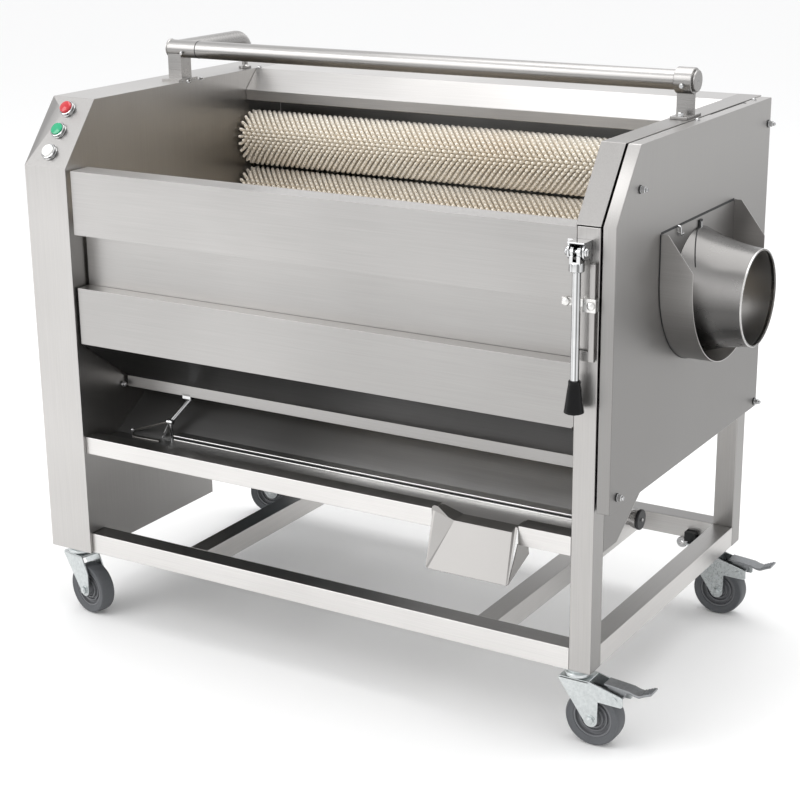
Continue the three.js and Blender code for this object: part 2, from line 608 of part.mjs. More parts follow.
function sprayPipe() {
  const p = PIPE;
  const left = pipeLeft - p.radius;
  const right = FRAME.length - p.rightInset;
  const backY = FRAME.depth - p.backInset;
  const corner = new THREE.Vector3(pipeLeft, backY, pipeZ);
  const bendStart = new THREE.Vector3(pipeLeft, backY - p.bend, pipeZ);
  const bendEnd = new THREE.Vector3(pipeLeft, backY, pipeZ - p.bend);
  const path = new THREE.CurvePath();
  path.add(new THREE.LineCurve3(new THREE.Vector3(pipeLeft, pipeY, pipeZ), bendStart));
  path.add(new THREE.QuadraticBezierCurve3(bendStart, corner, bendEnd));
  const ring = new THREE.Shape();
  ring.absarc(0, 0, p.radius, 0, FULL_TURN, false);
  const supply = new THREE.ExtrudeGeometry(ring,
    { extrudePath: path, steps: p.bendSteps, curveSegments: p.segments * HALF_SHARE });
  const upright = (radius, height) => rod(radius, top, height, p.segments)
    .translate(pipeLeft, backY, 0);
  add("spray_pipe", joined(aroundPipe(p.radius, left, right), supply,
    aroundPipe(p.cap, left - p.capLong, left), aroundPipe(p.cap, right, right + p.capLong),
    upright(p.nipple, pipeZ - p.bend * HALF_SHARE),
    upright(p.nippleFoot, top + p.nippleFootTall)), steel);
}

function pipeLegLeft() {
  const half = LEG.size * HALF_SHARE;
  const footHalf = LEG.footLong * HALF_SHARE;
  const foot = block(pipeLeft - LEG.footBefore, pipeLeft + LEG.footAfter,
    pipeY - footHalf, pipeY + footHalf, top, top + LEG.foot);
  const leg = block(pipeLeft - half, pipeLeft + half, pipeY - half, pipeY + half,
    top, pipeZ - LEG.topDrop);
  const clear = PIPE.radius + SEAT;
  const underRun = aroundPipe(clear, pipeLeft - LEG.size, pipeLeft + LEG.size);
  const underSupply = lyingY(rod(clear, pipeY, pipeY + LEG.size, PIPE.segments))
    .translate(pipeLeft, 0, pipeZ);
  add("pipe_leg_left", cut(joined(leg, foot), underRun, underSupply), steel);
}

function pipeBracketRight() {
  const s = STRAP;
  const x1 = FRAME.length - s.inset + s.wide * HALF_SHARE;
  const x0 = x1 - s.wide;
  const plank = (long, height) => block(x0, x1, pipeY - long * HALF_SHARE,
    pipeY + long * HALF_SHARE, top, height);
  const clear = PIPE.radius + SEAT;
  add("pipe_bracket_right", cut(
    joined(plank(s.thick, pipeZ), plank(s.footLong, top + s.foot),
      aroundPipe(clear + s.clamp, x0, x1)),
    aroundPipe(clear, x0 - OVERRUN, x1 + OVERRUN)), steel);
}

// Control lever: a forked bracket with its pin, the lever that hangs on it, and the black grip
const acrossLever = (radius, x0, x1) =>
  lyingX(rod(radius, x0, x1, ROUND)).translate(0, leverY, pivotZ);

function leverBracket() {
  const earIn = LEVER.hubWide * HALF_SHARE + EAR.gap;
  const earOut = earIn + EAR.thick;
  const headEnd = earOut + EAR.headLong;
  const plate = (x0, x1, y0) => block(x0, x1, y0, 0, pivotZ - EAR.half, pivotZ + EAR.half);
  const ear = (x0, x1) => plate(x0, x1, leverY - EAR.nose);
  add("lever_bracket", joined(
    plate(leverX - EAR.tail, leverX + earOut, -EAR.base),
    ear(leverX - earOut, leverX - earIn), ear(leverX + earIn, leverX + earOut),
    acrossLever(LEVER.pin, leverX - headEnd, leverX + headEnd),
    acrossLever(EAR.head, leverX - headEnd, leverX - earOut),
    acrossLever(EAR.head, leverX + earOut, leverX + headEnd),
  ), chrome);
}

function controlLever() {
  const l = LEVER;
  const half = l.hubWide * HALF_SHARE;
  const collarTop = pivotZ - l.neckLong;
  const collarFoot = collarTop - l.collarLong;
  const rodFoot = collarFoot - l.rodLong;
  const rodEnd = rodFoot - KNOB.socket;
  const down = (radius, z0, z1) => rod(radius, z0, z1, ROUND).translate(leverX, leverY, 0);
  const body = joined(acrossLever(l.hub, leverX - half, leverX + half),
    block(leverX - l.neck, leverX + l.neck, leverY - l.neck, leverY + l.neck, collarTop, pivotZ),
    down(l.collar, collarFoot, collarTop), down(l.rod, rodEnd, collarTop));
  add("control_lever",
    cut(body, acrossLever(l.pin + l.pinGap, leverX - l.hubWide, leverX + l.hubWide)), chrome);

  const socket = l.rod + l.pinGap;
  const foot = rodFoot - KNOB.length;
  const grip = turned([[0, rodEnd - SEAT], [socket, rodEnd - SEAT], [socket, rodFoot],
    [KNOB.top, rodFoot], [KNOB.bottom, foot + KNOB.round], [KNOB.bottom - KNOB.round, foot],
    [0, foot]], ROUND);
  add("lever_knob", grip.translate(leverX, leverY, 0), black);
}

// The block on the post that the gate's link slides through
function linkGuide() {
  const g = GUIDE;
  const linkHalf = LINK.wide * HALF_SHARE;
  const guideTop = pivotZ - g.drop;
  const guideFoot = guideTop - g.tall;
  const left = FRAME.length - g.inset;
  const linkLeft = linkX - linkHalf - g.gap;
  const linkRight = linkX + linkHalf + g.gap;
  const front = linkY - g.gap;
  const face = front - g.cover;
  const slab = (x0, x1, y0, y1) => block(x0, x1, y0, y1, guideFoot, guideTop);
  const stud = (x, y) => lyingY(rod(g.head, y - g.headLong, y, ROUND))
    .translate(x, 0, (guideFoot + guideTop) * HALF_SHARE);
  add("link_guide", joined(
    slab(left, FRAME.length, -EAR.base, 0), slab(linkLeft - g.block, linkLeft, face, 0),
    slab(linkRight, FRAME.length, face, 0), slab(linkLeft - g.block, FRAME.length, face, front),
    stud(left + g.head, -EAR.base), stud(linkX, face),
  ), chrome);
}

// A toothed outline, with one tip and one root for each tooth
function toothed(count, tip, root) {
  const halfTooth = FULL_TURN * HALF_SHARE / count;
  return [...Array(count).keys()].flatMap((i) => [tip, root].map((radius, step) => {
    const angle = (i + i + step) * halfTooth;
    return [radius * Math.cos(angle), radius * Math.sin(angle)];
  }));
}

// Brush rollers: a nylon sleeve on a shaft with its sprocket
const sprocket = () =>
  alongX(toothed(SPROCKET.teeth, SPROCKET.tip, SPROCKET.root), sprocketLeft, sprocketRight);

const sleeveLeft = CABINET.width + ROLLERS.endGap;
const sleeveRight = webX - ROLLERS.endGap;
const shaftRight = webX + SHEET + BEARING.length;

function shaftAndSprocket() {
  return joined(lyingX(rod(ROLLERS.shaft, shaftLeft, shaftRight, ROLLERS.segments)), sprocket());
}

// Rings of tapered nylon tufts, each ring turned half a step from its neighbours
function tufts() {
  const t = TUFT;
  const positions = [];
  const foot = ROLLERS.core - t.sink;
  const height = ROLLERS.tip - foot;
  const pitch = (sleeveRight - sleeveLeft) / t.rings;
  for (let ring = 0; ring < t.rings; ring++)
    for (let i = 0; i < t.perRing; i++) {
      const strand = new THREE.CylinderGeometry(t.end, t.root, height, t.sides, 1)
        .translate(0, foot + height * HALF_SHARE, 0)
        .rotateX((i + (ring % 2) * HALF_SHARE) * (FULL_TURN / t.perRing))
        .translate(sleeveLeft + pitch * (ring + HALF_SHARE), 0, 0)
        .toNonIndexed();
      positions.push(...strand.getAttribute("position").array);
    }
  const all = new THREE.BufferGeometry();
  all.setAttribute("position", new THREE.Float32BufferAttribute(positions, 3));
  return all;
}

function rollers() {
  for (const i of rollerIndices) {
    const group = new THREE.Group();
    group.position.set(0, ...rollerCentre(i));
    machine.add(group);
    const number = i + 1;
    if (i < TUFT.brushedRollers) {
      const flats = TUFT.perRing + TUFT.perRing; // each tuft stands on the middle of a flat
      const core = lyingX(rod(ROLLERS.core, sleeveLeft, sleeveRight, flats))
        .rotateX(FULL_TURN * HALF_SHARE / flats);
      const bore = lyingX(rod(ROLLERS.shaft + SEAT, sleeveLeft - OVERRUN, sleeveRight + OVERRUN,
        ROLLERS.segments));
      add("brush_sleeve_" + number, cut(joined(core, tufts()), bore), nylon, group);
      add("roller_shaft_" + number, shaftAndSprocket(), steel, group);
    } else {
      const rows = toothed(ROLLERS.ridges, ROLLERS.tip, ROLLERS.core); // a ridge stands for rows of tufts
      const brush = alongX(rows, sleeveLeft, sleeveRight);
      add("brush_roller_" + number, joined(brush, shaftAndSprocket()), nylon, group);
    }
  }
}

// Bearing plate inside the cabinet, which carries the rollers' left ends and the gearmotor
function bearingPlate() {
  const centres = rollerIndices.map(rollerCentre);
  const reach = BEARING.radius + BEARING.margin;
  const side = MOTOR.flange + SHEET;
  const clear = CABINET.width + OVERRUN;
  const board = block(plateX, plateX + BEARING.plate, Math.min(...centres.map(([y]) => y)) - reach,
    motorY + side, motorZ - side, Math.max(...centres.map(([, z]) => z)) + reach);
  const housings = centres.map((at) => lyingX(
    rod(BEARING.radius, plateX - BEARING.length, plateX, ROUND)).translate(0, ...at));
  const bores = centres.map((at) => lyingX(rod(ROLLERS.shaft + ROLLERS.shaftGap,
    plateX - BEARING.length - OVERRUN, clear, ROLLERS.segments)).translate(0, ...at));
  const motorBore = lyingX(rod(MOTOR.shaft + ROLLERS.shaftGap, plateX - OVERRUN, clear,
    MOTOR.segments)).translate(0, motorY, motorZ);
  add("bearing_plate", cut(joined(board, ...housings), ...bores, motorBore), steel);
}

// Gearmotor with its terminal box, and the sprocket on its shaft
function gearmotor() {
  const m = MOTOR;
  const face = plateX + BEARING.plate + SEAT;
  const gearX = face + m.flangeThick;
  const bodyX = gearX + m.gearLength;
  const fanX = bodyX + m.bodyLength;
  const stage = (radius, x0, x1) => lyingX(rod(radius, x0, x1, m.segments));
  const half = m.box * HALF_SHARE;
  const box = block(bodyX + half, bodyX + half + m.box, -half, half, 0, m.body + m.boxRise);
  const socket = stage(m.shaft + ROLLERS.shaftGap, face - OVERRUN, face + m.shaftSeat);
  const whole = joined(stage(m.flange, face, gearX), stage(m.gearbox, gearX, bodyX),
    stage(m.body, bodyX, fanX), stage(m.fan, fanX, fanX + m.fanLength), box);
  add("gearmotor", cut(whole, socket).translate(0, motorY, motorZ), paint);

  const shaft = stage(m.shaft, shaftLeft, face + m.shaftSeat - SEAT);
  add("drive_sprocket", joined(shaft, sprocket()).translate(0, motorY, motorZ), steel);
}

// The chain's line at one distance from the sprockets' centres: over the front roller, down round the
// next one and the motor, up over the rear roller, and back along the inside of the rollers' arc
function chainLoop(radius, path) {
  const last = rollerIndices.length - 1;
  const stops = [rollerCentre(last), rollerCentre(last - 1), [motorY, motorZ], rollerCentre(0)];
  const away = stops.slice(1).map(([y, z], i) => {
    const [y0, z0] = stops[i];
    return Math.atan2(-(y - y0), z - z0); // direction of the outward normal of this straight run
  });
  const start = rollerAngle(last) + Math.PI;
  const turns = [start, ...away, rollerAngle(0) + Math.PI];
  stops.forEach(([y, z], i) => {
    path.absarc(y, z, radius, turns[i], turns[i + 1], false);
  });
  path.absarc(bedY, bedZ, bedRadius - radius, rollerAngle(0), rollerAngle(last), true);
  return path;
}

function driveChain() {
  const inner = SPROCKET.tip + CHAIN.gap;
  const loop = chainLoop(inner + CHAIN.thickness, new THREE.Shape());
  loop.holes.push(chainLoop(inner, new THREE.Path()));
  add("drive_chain",
    alongX(loop, sprocketLeft + CHAIN.inset, sprocketRight - CHAIN.inset), darkSteel);
}

// Casters. Each is drawn about its swivel axis, trailing to +X, and then turned.
const cheekInner = CASTER.hubWide * HALF_SHARE + CASTER.cheekGap;
const cheekOuter = cheekInner + CASTER.cheek;

const acrossCaster = (radius, x, z, y0, y1) =>
  lyingY(rod(radius, y0, y1, ROUND)).translate(x, 0, z);

function casterPlate() {
  const c = CASTER;
  const half = c.plateLong * HALF_SHARE;
  const race = rod(c.race, crownTop + SEAT, frameFoot, ROUND);
  const bore = rod(c.kingpin + c.runGap, crownTop, crownTop + c.kingpinLong + SEAT, ROUND);
  const flange = block(-half, half, -half, half, frameFoot - c.plateThick, frameFoot);
  return cut(joined(flange, race), bore);
}

function casterWheel() {
  const c = CASTER;
  const rim = c.radius / Math.cos(Math.PI / c.segments); // the flats then lie at the radius
  const half = c.width * HALF_SHARE;
  const side = [[c.axle + c.runGap, c.hubWide * HALF_SHARE], [c.hub, c.hubWide * HALF_SHARE],
    [c.hub, c.web * HALF_SHARE], [c.rim, c.web * HALF_SHARE],
    [c.rim, half - c.shoulder * HALF_SHARE], [rim - c.shoulder, half], [rim, half - c.shoulder]];
  const profile = [...side, ...side.map(([r, h]) => [r, -h]).reverse(), side[0]];
  const wheel = turned(profile, c.segments).rotateZ(Math.PI / c.segments);
  return lyingY(wheel).translate(c.trail, 0, c.radius);
}

const pedalPin = [CASTER.trail + PEDAL.ahead, crownTop - PEDAL.drop];

function casterFork(braked) {
  const c = CASTER;
  const armTip = crownTop - c.armDrop;
  const cheek = new THREE.Shape();
  cheek.moveTo(-c.crown, crownFoot);
  cheek.lineTo(-c.crown, crownTop);
  cheek.lineTo(c.crown, crownTop);
  if (braked) {
    cheek.lineTo(c.trail + c.armPast, armTip);
    cheek.lineTo(c.trail + c.armPast, armTip - c.armTall);
  }
  cheek.lineTo(c.trail + c.boss, c.radius + c.notch);
  cheek.absarc(c.trail, c.radius, c.boss, 0, Math.asin(c.boss / c.radius) - Math.PI, true);
  cheek.closePath();
  const bothSides = (make) => [make(cheekInner, cheekOuter), make(-cheekOuter, -cheekInner)];
  const nutEnd = cheekOuter + c.nutLong;
  const parts = [
    ...bothSides((y0, y1) => alongY(cheek, y0, y1)),
    block(-c.crown, c.crown, -cheekOuter, cheekOuter, crownFoot, crownTop),
    rod(c.kingpin, crownFoot, crownTop + c.kingpinLong, ROUND),
    acrossCaster(c.axle, c.trail, c.radius, -nutEnd, nutEnd),
    acrossCaster(c.nut, c.trail, c.radius, cheekOuter, nutEnd),
    acrossCaster(c.nut, c.trail, c.radius, -nutEnd, -cheekOuter),
  ];
  if (braked) parts.push(acrossCaster(PEDAL.pin, ...pedalPin, -cheekOuter, cheekOuter));
  return joined(...parts);
}

function brakePedal() {
  const p = PEDAL;
  const half = p.wide * HALF_SHARE;
  const [pinX, pinZ] = pedalPin;
  const tread = sheetOutline([[pinX + p.tip, pinZ + p.tipRise], [pinX + p.dip, pinZ + p.dipRise],
    [pinX + p.knee, pinZ + p.kneeRise], [pinX - p.back, pinZ + p.backRise]], p.thick);
  const web = [[pinX - p.hub, pinZ], [pinX + p.hub, pinZ], [pinX + p.knee, pinZ + p.kneeRise],
    [pinX - p.back + p.thick, pinZ + p.backRise - p.thick * HALF_SHARE]];
  const hub = acrossCaster(p.hub, pinX, pinZ, -half, half);
  const bore = acrossCaster(p.pin + CASTER.runGap, pinX, pinZ, -p.wide, p.wide);
  return cut(joined(alongY(tread, -half, half), alongY(web, -half, half), hub), bore);
}

function casters() {
  const { inset, rearInset, leftX } = CASTER;
  const rearY = FRAME.depth - inset;
  for (const { place, x, y, turn, braked } of [
    { place: "front_right", x: FRAME.length - inset, y: inset, turn: 0, braked: true },
    { place: "rear_right", x: FRAME.length - rearInset, y: rearY, turn: 0, braked: true },
    { place: "front_left", x: leftX, y: inset, turn: -12, braked: false },
    { place: "rear_left", x: leftX, y: rearY, turn: 25, braked: false },
  ]) {
    const mount = new THREE.Group();
    const swivel = new THREE.Group();
    mount.position.set(x, y, 0);
    swivel.rotation.z = deg(turn);
    mount.add(swivel);
    machine.add(mount);
    add("caster_plate_" + place, casterPlate(), zinc, mount);
    add("caster_fork_" + place, casterFork(braked), zinc, swivel);
    add("caster_wheel_" + place, casterWheel(), tyreGrey, swivel);
    if (braked) add("brake_pedal_" + place, brakePedal(), pedalGrey, swivel);
  }
}

frame();
cabinet();
buttons();
frontPanels();
gate();
rearWall();
rightEndWall();
peelTray();
drainSpout();
sideCover();
dischargeSpout();
sprayPipe();
pipeLegLeft();
pipeBracketRight();
leverBracket();
controlLever();
linkGuide();
rollers();
bearingPlate();
gearmotor();
driveChain();
casters();

// Origin: the middle of the bounding box's bottom face
const box = new THREE.Box3().setFromObject(machine);
const middle = box.getCenter(new THREE.Vector3());
machine.position.set(-middle.x, -middle.y, -box.min.z);

export default machine;
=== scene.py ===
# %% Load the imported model
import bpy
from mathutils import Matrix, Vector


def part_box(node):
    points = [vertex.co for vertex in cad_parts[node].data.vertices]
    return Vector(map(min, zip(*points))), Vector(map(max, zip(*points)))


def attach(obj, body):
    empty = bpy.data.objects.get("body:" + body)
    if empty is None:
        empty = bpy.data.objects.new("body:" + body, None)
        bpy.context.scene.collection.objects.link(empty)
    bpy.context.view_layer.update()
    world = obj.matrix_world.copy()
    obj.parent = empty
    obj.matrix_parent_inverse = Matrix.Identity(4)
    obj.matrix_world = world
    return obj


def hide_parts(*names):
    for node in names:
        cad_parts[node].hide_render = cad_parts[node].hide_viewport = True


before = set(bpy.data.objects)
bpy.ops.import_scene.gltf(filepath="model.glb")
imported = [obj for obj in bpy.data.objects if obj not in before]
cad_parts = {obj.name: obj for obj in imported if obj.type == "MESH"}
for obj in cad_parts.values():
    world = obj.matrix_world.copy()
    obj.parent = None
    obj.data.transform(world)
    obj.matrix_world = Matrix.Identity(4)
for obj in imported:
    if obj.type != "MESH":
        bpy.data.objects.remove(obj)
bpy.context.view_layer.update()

# %% [markdown]
# # A brush-roller potato peeler
# This is a catering machine on casters. Potatoes tumble in a U-shaped bed of nylon brush rollers, water runs in
# from a pipe on top, and the peel falls into a tray below. The CAD model is the fixed frame of the scene: its
# sheet metal and tubes stay, and get softened edges and real finishes. What the CAD model draws with few facets
# is modelled again here: the brushes, the wheels, the buttons, the lever, the pipe and the outlet.

# %% Names used all through
import contextlib
import math

import bpy
from mathutils import Matrix, Vector

MM = 0.001
FULL_TURN = 2 * math.pi
QUARTER_TURN = math.pi / 2
ALONG_X, ALONG_Y, ALONG_Z = Vector((1, 0, 0)), Vector((0, 1, 0)), Vector((0, 0, 1))
# The machine's left front corner on the floor: x from the cabinet's side, y from the front rail's face
corner = Vector((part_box("cabinet_shell")[0].x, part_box("base_rail_front")[0].y, 0))


def at(x, y, z):
    """A place given in mm from the left front corner."""
    return corner + Vector((x, y, z)) * MM


# %% [markdown]
# ## The camera
# The photograph was taken with a long lens from the front right, a little above the machine. Its place and focal
# length were solved from the machine's straight edges, measured from the left corner of the frame on the floor.
# Starting with the camera means that each piece can be compared with the photograph as it is made.

# %% Camera
CAMERA_PLACE = (2283.5, -2434.5, 1471.3)
CAMERA_AZIMUTH, CAMERA_ELEVATION, CAMERA_ROLL = (math.radians(a) for a in (31.29, 17.65, -0.63))
SENSOR, LENS = 36, 79.7  # mm


def make_camera():
    """Looks back along the azimuth and elevation, rolled a little, as the photographer stood."""
    flat = math.cos(CAMERA_ELEVATION)
    back = Vector((math.sin(CAMERA_AZIMUTH) * flat, -math.cos(CAMERA_AZIMUTH) * flat,
                   math.sin(CAMERA_ELEVATION)))
    bpy.ops.object.camera_add(location=at(*CAMERA_PLACE))
    camera = bpy.context.object
    aim = (-back).to_track_quat("-Z", "Y").to_matrix().to_4x4()
    camera.matrix_world = Matrix.Translation(camera.location) @ aim @ Matrix.Rotation(CAMERA_ROLL, 4, "Z")
    camera.data.sensor_width = SENSOR
    camera.data.lens = LENS
    camera.data.clip_end = 100
    bpy.context.scene.camera = camera
    return camera


print("camera stands at", [round(v, 3) for v in make_camera().location])

# %% [markdown]
# ## Light and floor
# Stainless steel shows what is around it more than its own colour. A pale room with a few large soft lamps gives
# the sheets the long, quiet gradients of a product photograph. Small lamps would give hot spots instead. The
# floor is a plain pale plane, which isn't part of the machine.


# %% Floor, world and lamps
def soft_lamp(name, place, size, power):
    """A square area lamp that faces the middle of the machine."""
    bpy.ops.object.light_add(type="AREA", location=place)
    lamp = bpy.context.object
    lamp.name = name
    lamp.rotation_euler = (Vector((0, 0, 0.6)) - Vector(place)).to_track_quat("-Z", "Y").to_euler()
    lamp.data.size = size
    lamp.data.energy = power


def make_studio():
    """The floor, the pale world and the lamps."""
    bpy.ops.mesh.primitive_plane_add(size=30)
    floor = bpy.context.object
    floor.name = "studio_floor"
    paper = bpy.data.materials.new("white_paper")
    paper.use_nodes = True
    shader = paper.node_tree.nodes["Principled BSDF"]
    shader.inputs["Base Color"].default_value = (0.96, 0.96, 0.955, 1)
    shader.inputs["Roughness"].default_value = 0.9
    floor.data.materials.append(paper)
    world = bpy.data.worlds.new("studio")
    bpy.context.scene.world = world
    world.use_nodes = True
    world.node_tree.nodes["Background"].inputs["Color"].default_value = (0.99, 0.992, 1, 1)
    world.node_tree.nodes["Background"].inputs["Strength"].default_value = 1.0
    soft_lamp("key", (-2.8, -4.0, 3.2), 3.4, 90)
    soft_lamp("overhead", (0.2, 0.4, 3.6), 3.0, 60)


make_studio()
bpy.context.scene.view_settings.view_transform = "Standard"

# %% [markdown]
# ## Small helpers
# Every new piece is started from a primitive, shaped in edit mode, and finished with modifiers. The helpers keep
# these steps short.


# %% Helpers for modelling
def only(piece):
    """Selects one object alone and makes it active."""
    bpy.ops.object.select_all(action="DESELECT")
    piece.select_set(True)
    bpy.context.view_layer.objects.active = piece
    return piece


@contextlib.contextmanager
def editing(piece):
    """Edit mode with everything selected, and object mode again at the end."""
    only(piece)
    bpy.ops.object.mode_set(mode="EDIT")
    bpy.ops.mesh.select_all(action="SELECT")
    yield
    bpy.ops.object.mode_set(mode="OBJECT")


def modify(piece, kind, **settings):
    """Adds a modifier, sets it and applies it."""
    only(piece)
    bpy.ops.object.modifier_add(type=kind)
    modifier = piece.modifiers[-1]
    for key, value in settings.items():
        setattr(modifier, key, value)
    bpy.ops.object.modifier_apply(modifier=modifier.name)
    return piece


def bevelled(piece, edge, segments=2, **settings):
    """Rounds the edges, in mm."""
    return modify(piece, "BEVEL", width=edge * MM, segments=segments, limit_method="ANGLE", **settings)


def settle(piece):
    """Puts the object's place, turn and size into its mesh."""
    only(piece)
    bpy.ops.object.transform_apply(location=True, rotation=True, scale=True)
    return piece


def joined(name, pieces):
    """Joins several pieces to one."""
    only(pieces[0])
    for piece in pieces:
        piece.select_set(True)
    if len(pieces) > 1:
        bpy.ops.object.join()
    pieces[0].name = name
    return pieces[0]


def copied(piece, name):
    """A copy with its own mesh."""
    only(piece)
    bpy.ops.object.duplicate(linked=False)
    bpy.context.object.name = name
    return bpy.context.object


# %% Helpers for placing and finishing
TURNS = {"X": (0, QUARTER_TURN, 0), "-X": (0, -QUARTER_TURN, 0), "Y": (-QUARTER_TURN, 0, 0),
         "-Y": (QUARTER_TURN, 0, 0), "Z": (0, 0, 0)}
FINE_MESH = 50000  # faces; the brushes have more, and no flat faces
SMOOTH_BELOW = math.radians(35)


def placed(piece, place, axis="Z"):
    """Turns a piece made along Z so that it points along an axis, and puts it in its place."""
    piece.rotation_euler = TURNS[axis]
    piece.location = place
    return settle(piece)


def aimed(piece, place, direction):
    """Turns a piece made along Z to any direction, and puts it in its place."""
    piece.rotation_euler = direction.to_track_quat("Z", "Y").to_euler()
    piece.location = place
    return settle(piece)


def finished(piece, material, stands_for=(), body="machine", smooth_below=SMOOTH_BELOW):
    """Settles a piece, gives it its finish, and lets it ride on its body. Flat faces stay flat beside a bevel."""
    settle(piece)
    piece.data.materials.clear()
    piece.data.materials.append(material)
    bpy.ops.object.shade_smooth_by_angle(angle=smooth_below)
    if len(piece.data.polygons) < FINE_MESH:
        modify(piece, "WEIGHTED_NORMAL", weight=100, keep_sharp=True)
    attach(piece, body)
    if stands_for:
        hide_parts(*stands_for)
    return piece


def assembled(name, parts, material, stands_for=(), body="machine"):
    """Joins parts to one piece and finishes it."""
    return finished(joined(name, parts), material, stands_for, body)


# %% [markdown]
# ## Three ways to start a piece
# A turned piece begins as one vertex, extruded from corner to corner into a profile, which is then spun as on a
# lathe. A slab is a cube with rounded edges. A plate is drawn like a profile, but its ring of edges is filled
# with a face, and the face is pushed out to its thickness. A bevel takes the sharpness off.


# %% Profiles, slabs and plates
@contextlib.contextmanager
def drawing(name, points):
    """One vertex, extruded from place to place into a line of edges. The caller goes on in edit mode."""
    bpy.ops.object.select_all(action="DESELECT")
    bpy.ops.mesh.primitive_plane_add(size=MM)
    piece = bpy.context.object
    piece.name = name
    with editing(piece):
        bpy.ops.mesh.merge(type="CENTER")
        bpy.ops.transform.translate(value=points[0])
        for before, after in zip(points, points[1:]):
            bpy.ops.mesh.extrude_vertices_move(TRANSFORM_OT_translate={"value": after - before})
        bpy.ops.mesh.select_all(action="SELECT")
        yield piece


def turned(name, profile, steps=64):
    """Turns a profile of (radius, height) in mm about Z, as on a lathe."""
    with drawing(name, [Vector((radius, 0, height)) * MM for radius, height in profile]) as piece:
        bpy.ops.mesh.spin(steps=steps, angle=FULL_TURN, center=(0, 0, 0), axis=(0, 0, 1))
        bpy.ops.mesh.select_all(action="SELECT")
        bpy.ops.mesh.remove_doubles(threshold=MM / 100)
        bpy.ops.mesh.dissolve_degenerate(threshold=MM / 100)
        bpy.ops.mesh.normals_make_consistent(inside=False)
    return piece


def slab(name, low, high, edge=1.0, segments=2):
    """A block between two corners in metres, with rounded edges given in mm."""
    low, high = Vector(low), Vector(high)
    bpy.ops.object.select_all(action="DESELECT")
    bpy.ops.mesh.primitive_cube_add(size=1, location=(low + high) / 2)
    piece = bpy.context.object
    piece.name = name
    piece.scale = high - low
    settle(piece)
    return bevelled(piece, edge, segments) if edge else piece


def plate(name, points, push, edge, segments=2):
    """A flat plate from its corner points in metres, pushed out along a vector in mm."""
    with drawing(name, points) as piece:
        bpy.ops.mesh.edge_face_add()
        bpy.ops.mesh.extrude_region_move(TRANSFORM_OT_translate={"value": push * MM})
        bpy.ops.mesh.select_all(action="SELECT")
        bpy.ops.mesh.normals_make_consistent(inside=False)
    return bevelled(piece, edge, segments, angle_limit=math.radians(50))


# %% [markdown]
# ## Finishes
# Nearly everything is stainless steel with a brushed finish: a belt has drawn fine parallel lines along each
# sheet. That gives the eye soft, stretched reflections, with faint streaks along the grain. The streaks come from
# noise that is squeezed across the grain and stretched along it. The real lines are a few tenths of a millimetre
# apart, too fine for the picture, so a second, coarser set stands in for them.


# %% A node function and the colours
def linear(code):
    """An sRGB hex colour as linear numbers."""
    parts = [int(code[i:i + 2], 16) / 255 for i in (0, 2, 4)]
    return (*[p / 12.92 if p <= 0.04045 else ((p + 0.055) / 1.055) ** 2.4 for p in parts], 1)


def node(tree, kind, links=None, values=None, **settings):
    """Adds a node, sets it, and links or sets its inputs."""
    made = tree.nodes.new(kind)
    for key, value in settings.items():
        setattr(made, key, value)
    for key, value in (values or {}).items():
        made.inputs[key].default_value = value
    for key, source in (links or {}).items():
        tree.links.new(source, made.inputs[key])
    return made


def finish(name, slot, light, dark, scale, rough, metallic=0.0, bump=0.0, bump_depth=0.05, **values):
    """A Principled material whose colour and roughness vary with noise. Its scale is in 1/m, one number or one
    for each axis. Roughness is (low, high). Constant values stand on the shader's own sockets."""
    material = bpy.data.materials.new(name)
    material.use_nodes = True
    material["slot"] = slot
    tree = material.node_tree
    shader = tree.nodes["Principled BSDF"]
    shader.inputs["Base Color"].default_value = linear(light)
    shader.inputs["Metallic"].default_value = metallic
    for key, value in values.items():
        shader.inputs[key.replace("_", " ")].default_value = value
    place = node(tree, "ShaderNodeTexCoord").outputs["Object"]
    scales = scale if isinstance(scale, tuple) else (scale,) * 3
    squeeze = node(tree, "ShaderNodeMapping", {"Vector": place}, {"Scale": scales})
    fine = node(tree, "ShaderNodeTexNoise", {"Vector": squeeze.outputs["Vector"]},
                {"Scale": 1.0, "Detail": 6.0, "Roughness": 0.65})
    cloud = node(tree, "ShaderNodeTexNoise", {"Vector": place}, {"Scale": 3.2, "Detail": 2.0})
    both = node(tree, "ShaderNodeMath", {0: fine.outputs["Fac"], 1: cloud.outputs["Fac"]}, operation="ADD")
    half = node(tree, "ShaderNodeMapRange", {"Value": both.outputs[0]}, {"From Min": 0.7, "From Max": 1.3})
    colours = node(tree, "ShaderNodeMix", {"Factor": half.outputs[0]}, data_type="RGBA")
    colours.inputs["A"].default_value = linear(dark)
    colours.inputs["B"].default_value = linear(light)
    tree.links.new(colours.outputs["Result"], shader.inputs["Base Color"])
    roughness = node(tree, "ShaderNodeMapRange", {"Value": half.outputs[0]}, {"To Min": rough[0], "To Max": rough[1]})
    tree.links.new(roughness.outputs[0], shader.inputs["Roughness"])
    if bump:
        lines = node(tree, "ShaderNodeBump", {"Height": fine.outputs["Fac"]},
                     {"Strength": bump, "Distance": bump_depth * MM})
        tree.links.new(lines.outputs["Normal"], shader.inputs["Normal"])
    return material
